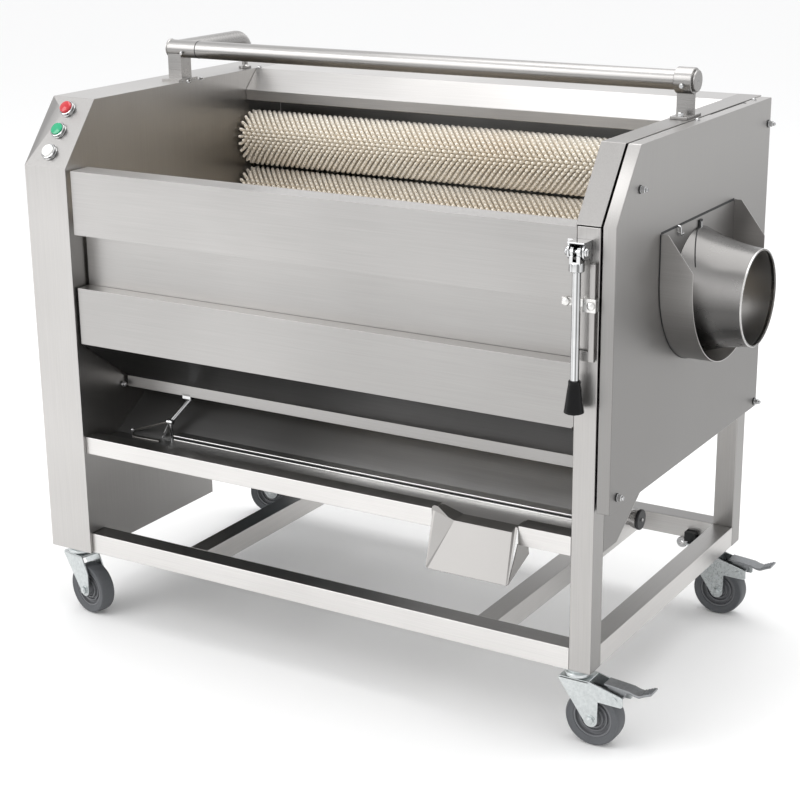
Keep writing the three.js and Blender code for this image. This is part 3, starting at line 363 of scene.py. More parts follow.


# %% [markdown]
# A steel sheet also mirrors the room: it is paler towards a lamp and darker towards a wall. The studio here is
# white all round, so a painted reflection stands in for the darker side of a real room: a slow change of tone in the
# colour. It follows the place along one axis, or the way the surface looks. On round chrome it paints the dark and
# bright bands along the rod.


# %% Painted reflection and shade: a slow change of tone
def painted_reflection(material, axis, stops, follows="Normal"):
    """Paints reflection and shade into the colour: scales it along one axis of the normal, or of the place in m. Stops
    are (value, tone 0 to 1).
    """
    tree = material.node_tree
    shader = tree.nodes["Principled BSDF"]
    kind = "ShaderNodeNewGeometry" if follows == "Normal" else "ShaderNodeTexCoord"
    parts = node(tree, "ShaderNodeSeparateXYZ", {0: node(tree, kind).outputs[follows]})
    first, last = stops[0][0], stops[-1][0]
    share = node(tree, "ShaderNodeMapRange", {"Value": parts.outputs[axis]}, {"From Min": first, "From Max": last})
    ramp = node(tree, "ShaderNodeValToRGB", {"Fac": share.outputs[0]})
    ramp.color_ramp.interpolation = "EASE"
    for value, _ in stops[1:-1]:
        ramp.color_ramp.elements.new((value - first) / (last - first))
    for stop, (value, tone) in zip(ramp.color_ramp.elements, stops):
        stop.position = (value - first) / (last - first)
        stop.color = (tone, tone, tone, 1)
    before = shader.inputs["Base Color"].links[0].from_socket
    scaled = node(tree, "ShaderNodeVectorMath", {0: before, 1: ramp.outputs["Color"]}, operation="MULTIPLY")
    tree.links.new(scaled.outputs[0], shader.inputs["Base Color"])


# %% Brushed stainless steel, with its grain along each axis
LINE = 1.6  # mm between the drawn lines; the real ones are finer
RUN = 160  # mm that a line runs on


def brushed(name, slot, axis, light, dark, rough=(0.3, 0.42)):
    """Belt-brushed stainless sheet: soft stretched reflections and faint lines along the grain."""
    grain = tuple(1 / (RUN * MM) if along == axis else 1 / (LINE * MM) for along in "XYZ")
    return finish(name, slot, light, dark, grain, rough, 1.0, 0.12)


# Painted reflection: across the front the sheets are palest in the middle and paler higher up; painted shade makes the
# folded-in underside of the lowest one nearly black
panel_steel = brushed("brushed_stainless_along_x", "sheet_steel", "X", "D9D7D5", "C8C6C4")
painted_reflection(panel_steel, "X", [(-0.55, 0.97), (-0.2, 0.96), (0.1, 0.88), (0.48, 0.86)], "Object")
painted_reflection(panel_steel, "Z", [(0.4, 0.9), (0.72, 0.9), (0.78, 1.0), (1.1, 1.0)], "Object")
painted_reflection(panel_steel, "Z", [(-1, 0.055), (-0.8, 0.055), (-0.3, 0.76), (0.3, 0.76), (0.9, 1.0), (1, 1.0)])
cabinet_steel = brushed("brushed_stainless_upright", "sheet_steel", "Z", "C6C4C2", "B7B5B3")
# Painted reflection: faces that look right, and faces that slope up a little, are made darker
painted_reflection(cabinet_steel, "X", [(-1, 1.0), (0.2, 1.0), (0.9, 0.68), (1, 0.66)])
painted_reflection(cabinet_steel, "Z", [(-1, 1.0), (0.3, 1.0), (0.6, 0.87), (0.75, 0.9), (1, 1.0)])
cover_steel = brushed("brushed_stainless_cover", "dull_steel", "Z", "BEBCBA", "B1AFAD", (0.34, 0.46))
# Painted reflection and shade: the cover is darker low down, and its faces that look right are darker
painted_reflection(cover_steel, "Z", [(0.43, 0.6), (0.7, 0.64), (1.02, 1.0)], "Object")
painted_reflection(cover_steel, "X", [(-1, 1.0), (0.4, 1.0), (0.9, 0.76), (1, 0.76)])
end_steel = brushed("brushed_stainless_end", "sheet_steel", "Z", "B2B0AE", "A4A2A0")
tray_steel = brushed("brushed_stainless_tray", "dull_steel", "X", "E4E3E2", "D6D5D4", (0.46, 0.56))
# Painted shade: the tray is much darker over its left half
painted_reflection(tray_steel, "X", [(-0.55, 0.32), (-0.2, 0.4), (0.05, 0.95), (0.48, 1.0)], "Object")
scoop_steel = finish("smooth_stainless_scoop", "sheet_steel", "A19F9D", "979593", 9, (0.4, 0.48), 1.0)
machined_steel = finish("machined_steel", "machined_steel", "9A9895", "7C7A77", 400, (0.3, 0.45), 1.0)
print("finishes so far:", len(bpy.data.materials))

# %% Steel tubes, and the polished cone of the outlet
tube_steel = {axis: brushed("tube_stainless_" + axis.lower(), "frame_tube", axis, light, dark)
              for axis, light, dark in (("X", "DEDCDA", "CECCCA"), ("Y", "CCCAC8", "BCBAB8"),
                                        ("Z", "BAB8B6", "ABA9A7"))}
# Painted reflection: the tops of the rails, and the posts' right faces, are darker, for the darker machine above and
# the darker side that they would mirror
for axis, side, start, tone in (("X", "Z", 0.4, 0.42), ("Y", "Z", 0.4, 0.75), ("Z", "X", 0.3, 0.66)):
    painted_reflection(tube_steel[axis], side, [(-1, 1.0), (start, 1.0), (0.9, tone), (1, tone)])
pipe_steel = brushed("satin_tube_stainless", "pipe_steel", "X", "CAC8C6", "B9B7B5", (0.24, 0.34))
# Painted reflection and shade: the pipe is dark underneath, with a bright band along its upper side
painted_reflection(pipe_steel, "Z", [(-1, 0.25), (-0.35, 0.5), (0.2, 0.62), (0.62, 1.0), (0.85, 0.7), (1, 0.8)])
# Painted reflection: the polished cone gets a bright band above its middle and a dark one under it
spout_steel = finish("polished_rolled_stainless", "sheet_steel", "ACAAA8", "9E9C9A", 14, (0.2, 0.3), 1.0)
painted_reflection(spout_steel, "Z", [(-1, 0.35), (-0.86, 0.62), (-0.6, 0.2), (-0.1, 0.26), (0.34, 1.0), (0.7, 0.42), (1, 0.5)])
print("finishes so far:", len(bpy.data.materials))

# %% Chrome, zinc, rubber, plastic, nylon and paint
chrome = finish("polished_chrome", "bright_metal", "E6E6E6", "D4D5D6", 60, (0.06, 0.14), 1.0)
# Painted reflection: bands of white and dark grey along the rod, as a bright rod shows them in a room
painted_reflection(chrome, "X", [(-1, 0.2), (-0.8, 0.3), (-0.5, 1.0), (-0.2, 0.55), (0.0, 0.9), (0.3, 1.0), (0.55, 0.25),
                    (0.8, 0.9), (1, 0.3)])
ground_edge = finish("ground_edge", "bright_metal", "ECEBE9", "DEDDDB", 90, (0.26, 0.36), 1.0)
zinc = finish("bright_zinc_plate", "zinc_steel", "D6DADA", "AFB4B5", 180, (0.24, 0.38), 1.0)
pedal_steel = finish("dull_zinc_plate", "pedal_steel", "9A9C9E", "7C7E80", 220, (0.34, 0.48), 1.0)
tread = finish("grey_rubber_tread", "wheel_rubber", "5C5E61", "484A4D", 700, (0.5, 0.68), 0, 0.2, 0.15)
hub_plastic = finish("grey_moulded_nylon", "wheel_rubber", "6E6F72", "5A5B5E", 500, (0.36, 0.5), 0, 0.1, 0.08)
# The black rubber finish also paints shade: the shadow line round the guard, the dark fold of the tray's rim, the end
# wall's slit and the block at the rear rail
dark_rubber_and_shade = finish("black_rubber_seal_and_painted_shade", "dull_steel", "1B1C1E", "111213", 400, (0.5, 0.62))
grip_black = finish("black_phenolic", "grip", "0C0C0D", "070708", 300, (0.1, 0.2), Specular_IOR_Level=0.2)
red_lens = finish("red_acrylic", "red_lens", "C8242F", "AE1822", 200, (0.08, 0.18), Coat_Weight=0.6)
green_lens = finish("green_acrylic", "green_lens", "14A877", "0B8E61", 200, (0.08, 0.18), Coat_Weight=0.6)
white_lens = finish("opal_acrylic", "white_lens", "F4F4F2", "E6E6E2", 200, (0.1, 0.2), Coat_Weight=0.5)
nylon = finish("nylon_bristle", "nylon_brush", "FDF9F0", "F1E7D8", 160, (0.45, 0.6))
motor_paint = finish("hammered_grey_paint", "motor_paint", "54636D", "435059", 600, (0.38, 0.52), 0, 0.25, 0.2)
print("finishes in all:", len(bpy.data.materials))

# %% [markdown]
# ## Sheets and tubes
# The folded sheets and square tubes are already right in the CAD model. Its meshes are loose triangles, so a Weld
# modifier joins them first, and a Bevel then rounds each fold a little. Even a half-millimetre rounding matters:
# it catches the light as the thin bright line along every edge in the photograph. Modelling the sheets again
# would add work and no detail.


# %% Finish the CAD sheets and tubes
def dress(material, edge, *names, segments=2):
    """Rounds the edges of CAD nodes, in mm, and gives them a finish."""
    for name in names:
        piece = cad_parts[name]
        weld = piece.modifiers.new("weld", "WELD")
        weld.merge_threshold = MM / 50
        soften = piece.modifiers.new("soft_edges", "BEVEL")
        soften.width = edge * MM
        soften.segments = segments
        soften.limit_method = "ANGLE"
        soften.angle_limit = math.radians(40)
        soften.use_clamp_overlap = True
        soften.harden_normals = True
        piece.data.materials.clear()
        piece.data.materials.append(material)


dress(tube_steel["Z"], 1.6, "post_front_right", "post_rear_right", segments=3)
dress(tube_steel["X"], 1.6, "base_rail_front", "base_rail_rear", "tray_rail_left", "tray_rail_right", segments=3)
dress(tube_steel["Y"], 1.6, "base_rail_right", "base_rail_left", "cross_rail_left", "cross_rail_right", segments=3)
dress(panel_steel, 0.9, "upper_front_panel", "lower_front_panel", "discharge_gate", "rear_wall")
for name, material, edge in (("cabinet_shell", cabinet_steel, 0.8), ("right_end_wall", end_steel, 0.8),
                             ("bearing_plate", cover_steel, 0.5), ("peel_tray", tray_steel, 0.5),
                             ("drain_spout", scoop_steel, 0.6), ("pipe_leg_left", pipe_steel, 0.8),
                             ("gate_link", tube_steel["Z"], 1.4), ("drive_chain", machined_steel, 0.5)):
    dress(material, edge, name)
print("CAD nodes with their own finish:", sum(1 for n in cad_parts.values() if n.data.materials))

# %% [markdown]
# ## The brush rollers
# Each roller is a plastic sleeve set with stiff nylon tufts. In the photograph the tufts stand in rows along the
# roller, 12.5 mm apart, and every second row is shifted by half a step. One tuft is turned as a tapered peg with
# a round tip. It is copied round the sleeve into one ring, and a second ring is turned by half a step. An Array
# modifier repeats the pair along the roller. A tuft has only a few dozen faces, because there are thousands.

# %% Sizes of the bed of rollers, from the CAD model
BRUSH_ROWS, TUFT_STEP = 44, 12.5  # rows round a roller; mm between the tufts of a row
BORE, SLEEVE, TIP = 15.3, 30, 57  # mm radius of the bore, of the sleeve, and of the brush over its tufts
LEAN = math.radians(9)  # how far the outermost tufts lean towards the walls
ROLLERS = range(1, 8)


def roller_node(number):
    """The CAD node that holds a roller's brush."""
    return ("brush_sleeve_%d" if number < 3 else "brush_roller_%d") % number


def centre_of(name):
    """The middle of a CAD node's box."""
    lowest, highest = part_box(name)
    return (lowest + highest) / 2


sleeve_low, sleeve_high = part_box("brush_sleeve_1")
sleeve_length = (sleeve_high.x - sleeve_low.x) / MM
pairs = int(sleeve_length / TUFT_STEP)
# Rollers 1 and 2 have strands, which shift the box's middle, so their axis is read from their shafts
roller_axis = {n: centre_of("roller_shaft_%d" % n if n < 3 else roller_node(n)) for n in ROLLERS}
print("brush length", round(sleeve_length, 1), "mm,", pairs, "pairs of rings")


# %% One tuft, one pair of rings, one brush
def make_ring(tuft, shift, half_step):
    """Copies of a tuft round the X axis, every second row."""
    ring = []
    for row in range(0, BRUSH_ROWS, 2):
        copy = copied(tuft, "tuft")
        copy.rotation_euler = ((row + half_step) * (FULL_TURN / BRUSH_ROWS), 0, 0)
        copy.location = (shift * MM, 0, 0)
        ring.append(settle(copy))
    return ring


def make_end_ring(tuft, side):
    """The outermost ring at the left (-1) or right (1) end. Its tufts are pressed outwards and stand askew."""
    leaning = copied(tuft, "leaning")
    leaning.rotation_euler = (0, side * LEAN, 0)
    foot = TUFT_STEP / 4 + SLEEVE * math.sin(LEAN)  # mm, so that the tufts' feet stay on the sleeve
    ring = make_ring(settle(leaning), foot if side < 0 else sleeve_length - foot, 0 if side < 0 else 1)
    bpy.data.objects.remove(leaning)
    return ring


def make_brush():
    """A sleeve with its tufts, along X from the origin."""
    tuft = turned("tuft", [(0, SLEEVE - 1), (3.3, SLEEVE - 1), (3.4, SLEEVE + 14), (3.3, TIP - 2.8),
                           (2.2, TIP - 0.7), (0, TIP)], 6)
    brush = joined("brush", make_ring(tuft, TUFT_STEP * 3 / 4, 1) + make_ring(tuft, TUFT_STEP * 5 / 4, 0))
    modify(brush, "ARRAY", count=pairs - 1, use_relative_offset=False, use_constant_offset=True,
           constant_offset_displace=(TUFT_STEP * MM, 0, 0))
    brush = joined("brush", [brush] + make_end_ring(tuft, -1) + make_end_ring(tuft, 1))
    bpy.data.objects.remove(tuft)
    with editing(brush):
        bpy.ops.transform.vertex_random(offset=0.35 * MM, uniform=0.2, seed=7)
    end = sleeve_length
    sleeve = turned("sleeve", [(BORE, 0), (SLEEVE - 1, 0), (SLEEVE, 1), (SLEEVE, end - 1), (SLEEVE - 1, end),
                               (BORE, end), (BORE, 0)], 48)
    return joined("brush", [brush, placed(sleeve, (0, 0, 0), "X")])


brush = make_brush()
for number in ROLLERS:
    roller = copied(brush, "roller_brush_%d" % number)
    roller.location = (sleeve_low.x, roller_axis[number].y, roller_axis[number].z)
    finished(roller, nylon, [roller_node(number)], "roller_%d" % number, math.radians(50))
bpy.data.objects.remove(brush)

# %% [markdown]
# ## Bars, bolts and holes
# A few shapes come back all over the machine, so each has a function: a round bar between two places, and a
# hexagon bolt head on its washer. A hole is cut with a Boolean, whose tool is deleted again.


# %% Holes, round bars and bolts
def drilled(piece, tool):
    """Cuts another piece out of a piece."""
    modify(piece, "BOOLEAN", object=tool, operation="DIFFERENCE", solver="EXACT")
    bpy.data.objects.remove(tool)
    return piece


def rod(name, radius, start, end, edge=0.4, steps=32):
    """A round bar between two places in metres, with a small chamfer at each end."""
    along = Vector(end) - Vector(start)
    length = along.length / MM
    edge = min(edge, radius / 3, length / 3)
    profile = [(0, 0), (radius - edge, 0), (radius, edge), (radius, length - edge), (radius - edge, length),
               (0, length)]
    return aimed(turned(name, profile, steps), start, along)


def bolt_head(name, place, direction, across, height, washer):
    """A chamfered hexagon head on its washer, pointing one way."""
    low, high = 1.2, 1.2 + height  # mm; the washer's top and the head's
    head = turned(name, [(0, low), (across / 2, low), (across / 2, high - 0.8), (across / 2 - 1, high), (0, high)], 6)
    ring = turned("washer", [(0, 0), (washer, 0), (washer, 1), (washer - 0.2, low), (0, low)], 32)
    return aimed(joined(name, [head, ring]), place, direction)


# %% [markdown]
# ## The side cover, its guard and the outlet
# A shallow pan closes the right end. A U-shaped guard is welded round the outlet, and its upper corners are cut
# off at a slant. The CAD model draws these curves with few facets, so the cover is made again. The pan is a plate
# whose inner face is deleted, with a wall from Solidify. The guard is a bent strip: a half circle with two
# straight ends, pushed out, cut at a slant with Bisect, and given its wall.

# %% Cover sizes in mm, from the CAD model
COVER_IN, COVER_OUT = 1170.5, 1193.5
OUTLET_Y, OUTLET_Z, OUTLET_RADIUS = 337, 728, 84
GUARD_Z, GUARD_RADIUS, GUARD_RIM, GUARD_REACH = 779, 165, 857, 58
GUARD_WALL, GUARD_FLANGE, GUARD_SHOULDER = 2, 13, 798


def make_pan():
    """The cover's pan with the outlet hole. Its inner face is deleted."""
    outline = [(0, 430), (665, 430), (665, 1015), (85, 1015), (0, 899)]
    pan = plate("cover_pan", [at(COVER_IN, y, z) for y, z in outline], ALONG_X * (COVER_OUT - COVER_IN), 1.6, 3)
    with editing(pan):
        bpy.ops.mesh.select_mode(type="FACE")
        bpy.ops.mesh.select_all(action="DESELECT")
    for polygon in pan.data.polygons:
        polygon.select = polygon.normal.x < -0.99
    bpy.ops.object.mode_set(mode="EDIT")
    bpy.ops.mesh.delete(type="FACE")
    bpy.ops.mesh.select_mode(type="VERT")
    bpy.ops.object.mode_set(mode="OBJECT")
    modify(pan, "SOLIDIFY", thickness=2 * MM, offset=-1, use_even_offset=True)
    hole = rod("hole", OUTLET_RADIUS, at(COVER_IN - 5, OUTLET_Y, OUTLET_Z), at(COVER_OUT + 5, OUTLET_Y, OUTLET_Z),
               0.1, 96)
    return drilled(pan, hole)


def bent_strip(name, radius, reach):
    """A strip bent into a U round the outlet, pushed out from the cover."""
    turn = [math.pi + math.pi * i / 48 for i in range(49)]
    line = [(OUTLET_Y - radius, GUARD_RIM)]
    line += [(OUTLET_Y + radius * math.cos(a), GUARD_Z + radius * math.sin(a)) for a in turn]
    line += [(OUTLET_Y + radius, GUARD_RIM)]
    with drawing(name, [at(COVER_OUT - 1, y, z) for y, z in line]) as strip:
        bpy.ops.mesh.extrude_region_move(TRANSFORM_OT_translate={"value": ALONG_X * (reach + 1) * MM})
    return strip


def make_guard():
    """The strip with its upper corners cut off at a slant, and its wall grown inwards."""
    guard = bent_strip("outlet_guard", GUARD_RADIUS, GUARD_REACH)
    slant_start = at(COVER_OUT + GUARD_FLANGE, 0, GUARD_RIM)
    slant = at(COVER_OUT + GUARD_REACH, 0, GUARD_SHOULDER) - slant_start
    with editing(guard):
        bpy.ops.mesh.bisect(plane_co=slant_start, plane_no=(-slant.z, 0, slant.x), clear_outer=True)
    outward = sum((p.center - at(p.center.x, OUTLET_Y, GUARD_Z)).dot(p.normal) for p in guard.data.polygons)
    modify(guard, "SOLIDIFY", thickness=GUARD_WALL * MM, offset=-1 if outward > 0 else 1, use_even_offset=True)
    return bevelled(guard, 0.6)


cover = finished(make_pan(), cover_steel, ["side_cover"])
guard_steel = brushed("brushed_stainless_guard", "sheet_steel", "X", "B2B0AE", "A4A2A0", (0.3, 0.4))
# Painted shade: the guard's faces that look down are darker
painted_reflection(guard_steel, "Z", [(-1, 0.42), (-0.6, 0.6), (0, 1.0), (1, 1.0)])
finished(make_guard(), guard_steel)
print("cover made,", len(cover.data.polygons), "faces")

# %% The bolts that hold the cover, and the dark lines round the guard, one of them a painted shadow
BOLTS = [(85, 945), (28, 453), (653.5, 969), (653.5, 441.5)]
bolts, washers = [], []
for y, z in BOLTS:
    foot = at(COVER_OUT + 1.8, y, z)
    bolts += [rod("cover_stud", 4, at(1167, y, z), foot), bolt_head("cover_bolt", foot, ALONG_X, 11, 6, 6.5),
              rod("cover_bolt_end", 3.8, foot, foot + ALONG_X * 11 * MM, 1.2)]
    washers.append(rod("cover_washer", 7, at(COVER_OUT - 0.5, y, z), foot, 0.3))
assembled("cover_bolts", bolts, chrome)
assembled("cover_washers", washers, dark_rubber_and_shade)
slot_seal = slab("guard_slot_seal", at(COVER_OUT - 1, 173, GUARD_RIM - 1), at(COVER_OUT + 0.8, 496, GUARD_RIM + 3),
                 0.3)
# A thin black strip round the guard's outer foot is a painted shadow line between the guard and the cover
shadow_line = modify(bent_strip("guard_painted_shadow_line", GUARD_RADIUS + 0.6, 1.2), "SOLIDIFY", thickness=1.6 * MM, offset=0,
                  use_even_offset=True)
assembled("guard_seal_and_painted_shadow", [slot_seal, shadow_line], dark_rubber_and_shade)
print("cover bolts:", len(BOLTS))

# %% [markdown]
# ## The outlet
# Peeled potatoes leave through a round sleeve that opens into a bell. The bell is rolled from sheet and welded
# along one seam, and it narrows towards its mouth. It is a turned shape, so its section is spun round the axis.
# A dark joint line runs down its upper side from the wall, and its mouth has a bright ground edge.

# %% The bell, its joint line, its inside and its edge
BELL_BASE, BELL_MOUTH, BELL_REACH, BELL_BOW, BELL_WALL, BELL_FOOT = 111, 83, 111, 5, 2, -66.1
BELL_STEPS, SEAM_STEPS = 14, 8
bell_place = at(COVER_OUT + 0.3, OUTLET_Y, OUTLET_Z)


def bell_radius(share):
    """The bell's outer radius in mm at a share of its reach."""
    return BELL_BASE + (BELL_MOUTH - BELL_BASE) * share - BELL_BOW * math.sin(math.pi * share)


def on_bell(step):
    """A place on the joint line, which slants down from the wall."""
    reach, angle = 1 + 27 * step / SEAM_STEPS, math.radians(94 + 49 * step / SEAM_STEPS)
    radius = bell_radius(reach / BELL_REACH) + 0.2
    return at(COVER_OUT + reach, OUTLET_Y + radius * math.cos(angle), OUTLET_Z + radius * math.sin(angle))


outer = [(bell_radius(i / BELL_STEPS), BELL_REACH * i / BELL_STEPS) for i in range(BELL_STEPS + 1)]
inner = [(radius - BELL_WALL, height) for radius, height in outer[1:-1]]
bore = BELL_MOUTH - BELL_WALL
section = [(bore, BELL_FOOT), (BELL_MOUTH, BELL_FOOT), (BELL_MOUTH, 0), *outer[:-1], (BELL_MOUTH, BELL_REACH - 0.6),
           (BELL_MOUTH - 0.5, BELL_REACH), (bore + 0.4, BELL_REACH), *inner[::-1],
           (BELL_BASE - BELL_WALL, BELL_WALL), (bore, BELL_WALL), (bore, BELL_FOOT)]
finished(placed(turned("outlet_bell", section, 96), bell_place, "X"), spout_steel, ["discharge_spout"])
seam = [rod("seam", 1.1, on_bell(step), on_bell(step + 1), 0.1, 8) for step in range(SEAM_STEPS)]
assembled("bell_seam", seam, dark_rubber_and_shade)
# Painted light: a thin shell in the cover's steel gives the bell's inside another tone than its outside, though both
# are one rolled sheet
inside_shell = [(radius - 0.05, height) for radius, height in inner]
inside_shell += [(radius - 0.4, height) for radius, height in reversed(inside_shell)] + [inside_shell[0]]
finished(placed(turned("bell_inside_painted_tone", inside_shell, 96), bell_place, "X"), cover_steel)
mouth_rim = [(bore - 0.1, -1.6), (BELL_MOUTH + 0.3, -1.6), (BELL_MOUTH + 0.3, 0.5), (BELL_MOUTH - 0.5, 1),
             (bore - 0.1, 1), (bore - 0.1, -1.6)]
mouth = at(COVER_OUT + 0.3 + BELL_REACH - 1, OUTLET_Y, OUTLET_Z)
finished(placed(turned("mouth_edge", mouth_rim, 96), mouth, "X"), ground_edge)
print("the bell's section has", len(section), "points")

# %% The small catch above the bell
hook_bend = at(COVER_OUT + 4.5, 247, 844)
hook = [rod("hook", 2.2, at(COVER_OUT - 1, 243, 858), at(COVER_OUT + 5, 243, 856)),
        rod("hook", 2.2, at(COVER_OUT + 4.5, 243, 857), hook_bend),
        rod("hook_end", 3.2, at(COVER_OUT - 1, 256, 842), at(COVER_OUT + 6, 256, 842), 0.8),
        rod("hook", 2, hook_bend, at(COVER_OUT + 4.5, 256, 842))]
assembled("guard_hook", hook, chrome)
finished(slab("catch_frame", at(COVER_OUT - 1, 332, 822), at(COVER_OUT + 3, 346, 851), 0.8), dark_rubber_and_shade)
finished(slab("catch_tongue", at(COVER_OUT + 2, 336, 826), at(COVER_OUT + 4.4, 342, 848), 0.6), chrome)
print("parts of the hook:", len(hook))

# %% [markdown]
# ## The spray pipe
# A round pipe runs the whole length above the rollers. Its ends are closed with welded caps. At the left end a
# second pipe leaves it towards the back and turns down to the water supply. Straight lengths are turned; the
# elbow is a circle that is spun through a quarter turn.

# %% Pipe sizes in mm, and the pipe itself
PIPE_RADIUS, PIPE_Y, PIPE_Z, PIPE_LEFT, PIPE_RIGHT, PIPE_BACK, BEND = 17, 372, 1077, 76, 1165, 590, 30
CAP_RADIUS, CAP_LONG, TOP = 18.5, 3, 1015
bend_start = at(PIPE_LEFT, PIPE_BACK - BEND, PIPE_Z)


def make_elbow():
    """A circle spun through a quarter turn, from +Y down to -Z."""
    bpy.ops.object.select_all(action="DESELECT")
    bpy.ops.mesh.primitive_circle_add(vertices=40, radius=PIPE_RADIUS * MM, fill_type="NGON", location=bend_start,
                                      rotation=(QUARTER_TURN, 0, 0))
    elbow = settle(bpy.context.object)
    with editing(elbow):
        bpy.ops.mesh.spin(steps=12, angle=QUARTER_TURN, axis=(1, 0, 0), center=bend_start - ALONG_Z * BEND * MM)
        bpy.ops.mesh.select_all(action="SELECT")
        bpy.ops.mesh.remove_doubles(threshold=MM / 50)
        bpy.ops.mesh.normals_make_consistent(inside=False)
    return elbow


left_end = PIPE_LEFT - PIPE_RADIUS
run_length = PIPE_RIGHT - left_end
run_profile = [(0, -CAP_LONG), (CAP_RADIUS - 1, -CAP_LONG), (CAP_RADIUS, 1 - CAP_LONG), (CAP_RADIUS, -0.6),
               (PIPE_RADIUS + 0.5, 0), (PIPE_RADIUS, 0.8)]
run_profile += [(radius, run_length - height) for radius, height in reversed(run_profile)]
foot_profile = [(0, 0), (12.4, 0), (13, 0.6), (13, 4.2), (12.2, 5), (7.5, 5), (6, 7), (0, 7)]
end_profile = [(0, 0), (PIPE_RADIUS, 0), (PIPE_RADIUS, 1), (0, 1)]
pipe_parts = [
    placed(turned("spray_run", run_profile, 64), at(left_end, PIPE_Y, PIPE_Z), "X"),
    rod("supply", PIPE_RADIUS, at(PIPE_LEFT, PIPE_Y, PIPE_Z), bend_start, 0.1, 40), make_elbow(),
    rod("nipple", 6, at(PIPE_LEFT, PIPE_BACK, TOP), at(PIPE_LEFT, PIPE_BACK, PIPE_Z - BEND), 0.2, 24),
    placed(turned("nipple_foot", foot_profile, 40), at(PIPE_LEFT, PIPE_BACK, TOP)),
    placed(turned("pipe_end", end_profile, 40), at(PIPE_LEFT, PIPE_BACK, PIPE_Z - BEND - 1))]
assembled("spray_pipe_smooth", pipe_parts, pipe_steel, ["spray_pipe"])
print("pipe run", run_length, "mm long")


# %% The clamp at the pipe's right end
def round_ring(name, bore, rim, long, edge, steps=64):
    """A ring with chamfered outer edges, about Z."""
    return turned(name, [(bore, 0), (rim - edge, 0), (rim, edge), (rim, long - edge), (rim - edge, long), (bore, long),
                         (bore, 0)], steps)


STRAP_LEFT, STRAP_RIGHT = 1131, 1163
clear_radius = PIPE_RADIUS + 0.3
strap = round_ring("clamp_ring", clear_radius, clear_radius + 5, STRAP_RIGHT - STRAP_LEFT, 1)
clamp = [placed(strap, at(STRAP_LEFT, PIPE_Y, PIPE_Z), "X"),
         slab("clamp_leg", at(STRAP_LEFT, PIPE_Y - 3, TOP + 4), at(STRAP_RIGHT, PIPE_Y + 3, PIPE_Z - clear_radius - 1),
              0.6),
         slab("clamp_foot", at(STRAP_LEFT, PIPE_Y - 31, TOP), at(STRAP_RIGHT, PIPE_Y + 31, TOP + 5), 1)]
screws = [bolt_head("clamp_screw", at(1147, PIPE_Y + side * 22, TOP + 5), ALONG_Z, 10, 5, 6) for side in (-1, 1)]
assembled("pipe_clamp_right", clamp, pipe_steel, ["pipe_bracket_right"])
screws.append(rod("set_screw", 4.2, at(1147, 353, 1070), at(1147, 346.5, 1070), 1))
cap_face = PIPE_RIGHT + CAP_LONG
screws.append(rod("cap_dot", 2.6, at(cap_face - 0.5, PIPE_Y, PIPE_Z), at(cap_face + 0.6, PIPE_Y, PIPE_Z)))
assembled("clamp_screws", screws, chrome)
print("parts of the clamp:", len(clamp))

# %% Small things on top: the left leg's bolts, the pipe's joint, and the lines and screws of the end wall
small = [bolt_head("leg_bolt", at(x, y, TOP), ALONG_Z, 8, 4, 5) for x, y in ((112, 352), (112, 392), (103, 605))]
small += [bolt_head("end_screw", at(1177, y, TOP), ALONG_Z, 7, 2, 4.4) for y in (618, 352)]
small.append(rod("pipe_screw", 3.6, at(96, 356.5, 1072), at(96, 351, 1070), 0.8))
assembled("top_screws", small, chrome)
joint = round_ring("pipe_joint", PIPE_RADIUS - 0.5, PIPE_RADIUS + 0.35, 1.4, 0)
# The black slit in the end wall and the hole at its end are painted shade; the dark ring is the pipe's joint
assembled("dark_lines", [placed(joint, at(126, PIPE_Y, PIPE_Z), "X"),
                         slab("end_wall_slit", at(1172.5, 420, TOP - 1), at(1174, 573, TOP + 0.4), 0.1),
                         rod("slit_end", 4, at(1175, 574, TOP - 1), at(1175, 574, TOP + 0.5), 0.2)], dark_rubber_and_shade)
print("screws on top:", len(small) + len(screws))

# %% [markdown]
# ## The lever, its bracket and the gate's guide
# The lever hangs in a forked bracket on the right front post. Its link slides in a guide below and lifts the
# discharge gate. Everything here is bright plated steel, except the black grip. Ears and blocks are plates and
# slabs with rounded edges; the rod, collar and grip are turned.

# %% Lever sizes in mm, from the CAD model
LEVER_X, LEVER_Y, PIVOT_Z = 1139, -24, 862
EAR_IN, EAR_OUT, EAR_HALF = 11, 14.5, 14
SLOT_HALF, HUB_HALF = 3.4, 9.5  # mm of the slot between the prongs, and of the fork


def make_bracket():
    """A back plate with two ears, a roof, and the pin with its round heads."""
    parts = [slab("bracket_back", at(1112, -3, PIVOT_Z - EAR_HALF), at(LEVER_X + EAR_OUT, 0, PIVOT_Z + EAR_HALF), 0.8)]
    outline = [(0, -14), (0, 14), (-22, 14), (-28, 10), (-31, 5), (-31, -5), (-28, -10), (-22, -14)]
    for left in (LEVER_X - EAR_OUT, LEVER_X + EAR_IN):
        parts.append(plate("ear", [at(left, y, PIVOT_Z + z) for y, z in outline], ALONG_X * 3.5, 0.6))
    for side, axis in ((-1, "-X"), (1, "X")):
        head = turned("pin_head", [(0, 0), (6.4, 0), (7, 0.8), (7, 2.2), (6.2, 4.4), (4.2, 5.8), (0, 6.4)], 32)
        parts.append(placed(head, at(LEVER_X + side * EAR_OUT, LEVER_Y, PIVOT_Z), axis))
    parts.append(rod("pin", 4, at(LEVER_X - 16, LEVER_Y, PIVOT_Z), at(LEVER_X + 16, LEVER_Y, PIVOT_Z)))
    parts.append(slab("bracket_roof", at(LEVER_X - EAR_OUT, -30, PIVOT_Z + 13),
                      at(LEVER_X + EAR_OUT, -1, PIVOT_Z + 15.5), 0.8))
    return parts


